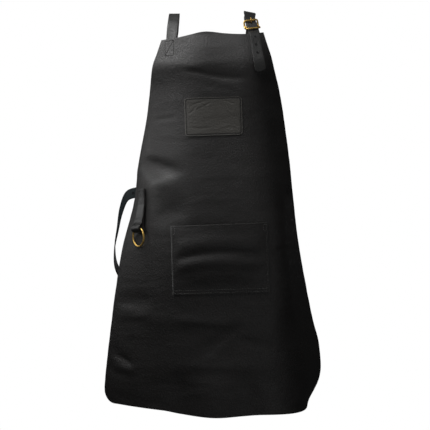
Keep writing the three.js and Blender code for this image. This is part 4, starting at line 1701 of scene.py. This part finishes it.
@dataclass
class Buckle:
    """A centre-bar buckle whose end bars arch forward over the strap."""

    place: Place
    width: float = 37.0
    length: float = 28.0
    wire: float = 2.1
    bar: float = 1.3
    arch: float = 8.3
    tongue: float = 0.9
    squareness: float = 8.0

    def frame_line(self, count: int = 96) -> np.ndarray:
        """Lists the middle line of the buckle's frame.

        Args:
            count: how many points the line has.

        Returns:
            One point in each row, in millimetres, in the buckle's own place.
        """
        half_width, half_length = self.width / 2 - self.wire, self.length / 2 - self.wire
        fine = np.linspace(0, 2 * math.pi, 4001)[:-1]
        power = 2 / self.squareness
        x = half_width * np.sign(np.cos(fine)) * np.abs(np.cos(fine)) ** power
        z = half_length * np.sign(np.sin(fine)) * np.abs(np.sin(fine)) ** power
        line = np.stack((x, -self.arch * (z / half_length) ** 2, z), axis=1)
        run = np.concatenate(([0.0], np.cumsum(np.linalg.norm(np.diff(line, axis=0, append=line[:1]), axis=1))))
        wanted = np.linspace(0, run[-1], count + 1)[:-1]
        looped = np.vstack((line, line[:1]))
        return np.stack([np.interp(wanted, run, looped[:, k]) for k in range(3)], axis=1)

    def build(self, name: str, node: str, finishes: Finishes) -> bpy.types.Object:
        """Builds and dresses the frame and its centre bar.

        Args:
            name: the piece's name.
            node: the frame's node that it stands for.
            finishes: the materials.

        Returns:
            The buckle.
        """
        matrix = self.place.matrix()
        mesh = WireTube(self.frame_line(), self.wire, True).build(matrix)
        bar = bmesh.ops.create_cone(
            mesh,
            cap_ends=True,
            segments=16,
            radius1=self.bar * MM,
            radius2=self.bar * MM,
            depth=(self.width - 2 * self.wire) * MM,
            matrix=matrix @ Matrix.Rotation(math.pi / 2, 4, "Y"),
        )
        for face in {face for vert in bar["verts"] for face in vert.link_faces}:
            face.smooth = len(face.verts) == 4
        buckle = make_object(name, mesh, [finishes.brass])
        report(buckle, Body.APRON, Slot.BRASS, node)
        return buckle

    def build_tongue(self, finishes: Finishes) -> bpy.types.Object:
        """Builds and dresses the tongue that lies in the strap's hole.

        Args:
            finishes: the materials.

        Returns:
            The tongue.
        """
        rows = np.array([(0.0, back, up) for up, back in TONGUE_RUN])
        line = spline(rows, np.linspace(0, 1, 61))
        mesh = WireTube(line, self.tongue, False, 12).build(self.place.matrix())
        tongue = make_object("buckle_tongue", mesh, [finishes.brass])
        report(tongue, Body.APRON, Slot.BRASS, "neck_buckle_tongue")
        return tongue


BAR_FOLD = Buckle.bar + STOCK.gap + STOCK.tab_thickness / 2


@dataclass
class NeckHarness:
    """The neck strap, its buckle and the tab that holds the buckle."""

    tongue_slot: float = 5.0
    tab_slot: float = 7.0
    tab_room: float = 1.5
    spare_holes: int = 4
    past_tongue: float = 2.0
    left_box: tuple[float, float, float, float] = (9.0, 46.0, 10.5, -101.5)
    right_box: tuple[float, float, float, float] = (11.0, 46.0, 10.0, 97.5)

    def build(self, finishes: Finishes) -> None:
        """Builds and dresses the whole harness.

        Args:
            finishes: the materials.
        """
        tab_rows = [*(panel_row(spot) for spot in NECK_TAB_LINE), *(open_row(way) for way in NECK_TAB_RISE)]
        place = fold_place(tab_rows)
        thread = [RouteRow(place.at(0, back, up), place.out) for up, back in BUCKLE_THREAD]
        route = StrapRoute(
            [
                *(panel_row(spot) for spot in NECK_SEWN),
                *(open_row(way) for way in NECK_RUN),
                *thread,
                *(panel_row(spot) for spot in NECK_FREE_END),
            ]
        )
        tongue_hole = route.distance_of_row(len(NECK_SEWN) + len(NECK_RUN) + 2)
        first_spare = tongue_hole + self.past_tongue + STOCK.hole_pitch
        holes = [(tongue_hole, self.tongue_slot)]
        holes += [(first_spare + i * STOCK.hole_pitch, STOCK.hole_radius) for i in range(self.spare_holes)]
        strap = Strap("neck_strap_hide", route, free_end=True)
        strap.build(finishes, "neck_strap", holes)
        tab_route = folded_route(tab_rows, BAR_FOLD, self.tab_room)
        tab = Strap("neck_buckle_tab_hide", tab_route, STOCK.tab_thickness, cell=STOCK.tab_cell)
        tab.build(finishes, "neck_buckle_tab", [(tab_route.length / 2, self.tab_slot)])
        buckle = Buckle(place)
        buckle.build("neck_buckle_brass", "neck_buckle", finishes)
        buckle.build_tongue(finishes)
        seam = panel_seam("bib_stitching")
        seam.sew(box_seam(*self.left_box))
        seam.sew(box_seam(*self.right_box))
        seam.finish(finishes.black_thread_and_shade, Body.APRON, Slot.LEATHER)


@dataclass
class ToolHanger:
    """The tool tab at the waist and the ring that swings in its fold."""

    loop: float = 8.0
    tab_room: float = 1.1
    tab_cell: float = 1.8
    ripple: float = 0.3
    sewn_box: tuple[float, float, float] = (3.5, 28.0, 9.0)
    ring_outer: float = 47.0
    ring_wire: float = 2.1
    ring_turn: float = 12.0
    ring_hang: float = -18.0

    def build(self, finishes: Finishes) -> None:
        """Builds and dresses the tab and the ring.

        Args:
            finishes: the materials.
        """
        rows = [panel_row(spot) for spot in TOOL_TAB_LINE]
        route = folded_route(rows, self.loop + STOCK.tab_thickness / 2, self.tab_room)
        tab = Strap("tool_tab_hide", route, STOCK.tab_thickness, cell=self.tab_cell, ripple=self.ripple)
        tab.build(finishes, "tool_tab", skin=finishes.tab)
        seam = Stitching("tool_tab_stitching", tab.outer)
        seam.sew(box_seam(*self.sewn_box))
        seam.finish(finishes.black_thread_and_shade, Body.APRON, Slot.STRAP)
        self._ring(fold_place(rows), finishes)

    def _ring(self, place: Place, finishes: Finishes) -> None:
        """Spins the ring's wire round its middle and hangs it in the fold.

        Args:
            place: the fold that it hangs in.
            finishes: the materials.
        """
        mean = self.ring_outer / 2 - self.ring_wire
        sag = mean - math.sqrt(mean * mean - (STOCK.width / 2) ** 2)
        mesh = bmesh.new()
        section = bmesh.ops.create_circle(mesh, segments=20, radius=self.ring_wire * MM)
        bmesh.ops.translate(mesh, vec=(mean * MM, 0.0, 0.0), verts=section["verts"])
        bmesh.ops.spin(
            mesh,
            geom=mesh.edges[:],
            cent=(0.0, 0.0, 0.0),
            axis=(0.0, 1.0, 0.0),
            angle=2 * math.pi,
            steps=96,
            use_merge=True,
        )
        bmesh.ops.remove_doubles(mesh, verts=mesh.verts, dist=1e-6)
        bmesh.ops.recalc_face_normals(mesh, faces=mesh.faces)
        turn = Matrix.Rotation(math.radians(self.ring_turn), 4, "Z")
        plumb = Matrix.Rotation(math.radians(self.ring_hang), 4, "X")
        hang = plumb @ turn @ Matrix.Translation((0.0, 0.0, (mean - sag / 2) * MM))
        bmesh.ops.transform(mesh, matrix=place.matrix() @ hang, verts=mesh.verts)
        shade_smooth(mesh)
        ring = make_object("tool_ring_brass", mesh, [finishes.brass])
        report(ring, Body.RING, Slot.BRASS, "tool_ring")


@dataclass
class WaistHarness:
    """The slack waist strap, and the buckle and tab that hold it behind the left side."""

    holes_before_edge: int = 4
    holes_from_edge: int = 2
    sewn_box: tuple[float, float, float, float] = (352.0, 372.0, 13.0, 219.0)

    def build(self, finishes: Finishes) -> None:
        """Builds and dresses the whole harness.

        Args:
            finishes: the materials.
        """
        tab_rows = [panel_row(spot, -1.0) for spot in WAIST_TAB_LINE]
        place = fold_place(tab_rows)
        thread = [RouteRow(place.at(0, back, up), -place.out) for up, back in reversed(BUCKLE_THREAD)]
        route = StrapRoute(
            [
                *(panel_row(spot) for spot in WAIST_FREE_END),
                *thread,
                *(panel_row(spot) for spot in WAIST_EDGE),
                *(open_row(way) for way in WAIST_RUN),
                *(panel_row(spot) for spot in WAIST_SEWN),
            ]
        )
        edge_hole = route.distance_of_row(len(WAIST_FREE_END) + len(BUCKLE_THREAD) + 1)
        steps = range(-self.holes_before_edge, self.holes_from_edge)
        holes = [(edge_hole + i * STOCK.hole_pitch, STOCK.hole_radius) for i in steps]
        strap = Strap("waist_strap_hide", route, free_start=True)
        # Takes the darker copy of the strap hide as painted shade.
        strap.build(finishes, "waist_strap", holes, finishes.waist)
        tab_route = folded_route(tab_rows, BAR_FOLD, STOCK.gap)
        tab = Strap("waist_tab_hide", tab_route, STOCK.tab_thickness, cell=STOCK.tab_cell)
        tab.build(finishes, "waist_tab")
        Buckle(place).build("waist_buckle_brass", "waist_buckle", finishes)
        seam = panel_seam("waist_stitching")
        seam.sew(box_seam(*self.sewn_box))
        seam.finish(finishes.black_thread_and_shade, Body.APRON, Slot.LEATHER)


@dataclass(frozen=True)
class SoftBox:
    """A square studio light and where it stands, in metres."""

    name: str
    spot: tuple[float, float, float]
    aim: tuple[float, float, float]
    size: float
    watts: float
    spread: float = 180.0


@dataclass
class Studio:
    """The camera, the lights, the floor and the backdrop."""

    camera_x: float = 0.0045
    camera_y: float = -2.39
    camera_z: float = -0.408
    lens: float = 81.86
    surround: float = 0.027
    floor_z: float = -1.35
    floor_radius: float = 1.3
    boxes: tuple[SoftBox, ...] = (
        SoftBox("key", (-0.693, -0.386, 0.821), (-0.1, -0.17, -0.08), 0.6, 1.95, 75.0),
        SoftBox("side", (-0.866, -0.936, 0.111), (-0.1, -0.17, -0.08), 0.6, 0.7, 75.0),
        SoftBox("top", (-0.045, -0.799, 0.821), (-0.1, -0.17, -0.08), 0.6, 0.85, 75.0),
        SoftBox("left", (-1.066, 0.015, -0.065), (-0.02, -0.17, -0.35), 0.6, 0.36, 75.0),
        SoftBox("low_fill", (0.623, -1.936, -1.034), (-0.02, -0.17, -0.35), 1.2, 2.4),
        SoftBox("right_fill", (1.608, -1.11, 0.334), (-0.02, -0.17, -0.35), 1.2, 1.36),
        SoftBox("back", (0.5, 1.8, 0.3), (0.0, 0.0, -0.4), 1.0, 12.0),
    )

    def build(self) -> None:
        """Sets up the whole studio."""
        self._camera()
        self._floor()
        self._backdrop()
        for box in self.boxes:
            self._light(box)

    def _camera(self) -> None:
        """Puts the camera level, straight in front of the apron's middle."""
        data = bpy.data.cameras.new("camera")
        data.lens = self.lens
        data.sensor_width = 36.0
        camera = bpy.data.objects.new("camera", data)
        camera.location = (self.camera_x, self.camera_y, self.camera_z)
        camera.rotation_euler = (math.pi / 2, 0.0, 0.0)
        bpy.context.scene.collection.objects.link(camera)
        bpy.context.scene.camera = camera

    def _floor(self) -> None:
        """Lays a plain pale floor below the apron."""
        mesh = bmesh.new()
        bmesh.ops.create_circle(mesh, cap_ends=True, segments=96, radius=self.floor_radius)
        bmesh.ops.translate(mesh, vec=(0.0, 0.0, self.floor_z), verts=mesh.verts)
        material, graph = new_material("pale_floor")
        graph.surface(
            {
                "Base Color": (0.82, 0.82, 0.81, 1.0),
                "Roughness": 0.8,
                "Emission Color": (1.0, 1.0, 0.99, 1.0),
                "Emission Strength": 0.7,
            }
        )
        floor = make_object("floor", mesh, [material])
        floor.visible_diffuse = False
        floor.visible_glossy = False

    def _backdrop(self) -> None:
        """Makes the surround plain white to the eye and dim to the leather."""
        world = bpy.data.worlds.new("surround")
        world.use_nodes = True
        graph = ShaderGraph(world.node_tree)
        seen = graph.add("ShaderNodeLightPath").outputs["Is Camera Ray"]
        dim = graph.add("ShaderNodeBackground", {"Color": (1.0, 1.0, 1.0, 1.0), "Strength": self.surround})
        white = graph.add("ShaderNodeBackground", {"Color": (1.0, 1.0, 1.0, 1.0), "Strength": 1.0})
        both = graph.add("ShaderNodeMixShader", {0: seen, 1: dim.outputs[0], 2: white.outputs[0]})
        graph.add("ShaderNodeOutputWorld", {"Surface": both.outputs[0]})
        scene = bpy.context.scene
        scene.world = world
        scene.view_settings.view_transform = "Standard"

    def _light(self, box: SoftBox) -> None:
        """Stands one soft box and turns it to its aim.

        Args:
            box: the light.
        """
        data = bpy.data.lights.new(box.name, "AREA")
        data.energy = box.watts
        data.size = box.size
        data.spread = math.radians(box.spread)
        light = bpy.data.objects.new(box.name, data)
        light.location = box.spot
        aim = Vector(box.aim) - Vector(box.spot)
        light.rotation_euler = aim.to_track_quat("-Z", "Y").to_euler()
        bpy.context.scene.collection.objects.link(light)


def main() -> None:
    """Builds every piece of the apron in order, and the studio round it."""
    logging.basicConfig(level=logging.INFO, format="%(name)s: %(message)s")
    finishes = Finishes()
    HidePanel().build(finishes)
    Pocket().build(finishes)
    Badge().build(finishes)
    NeckHarness().build(finishes)
    ToolHanger().build(finishes)
    WaistHarness().build(finishes)
    Studio().build()


if __name__ == "__main__":
    main()
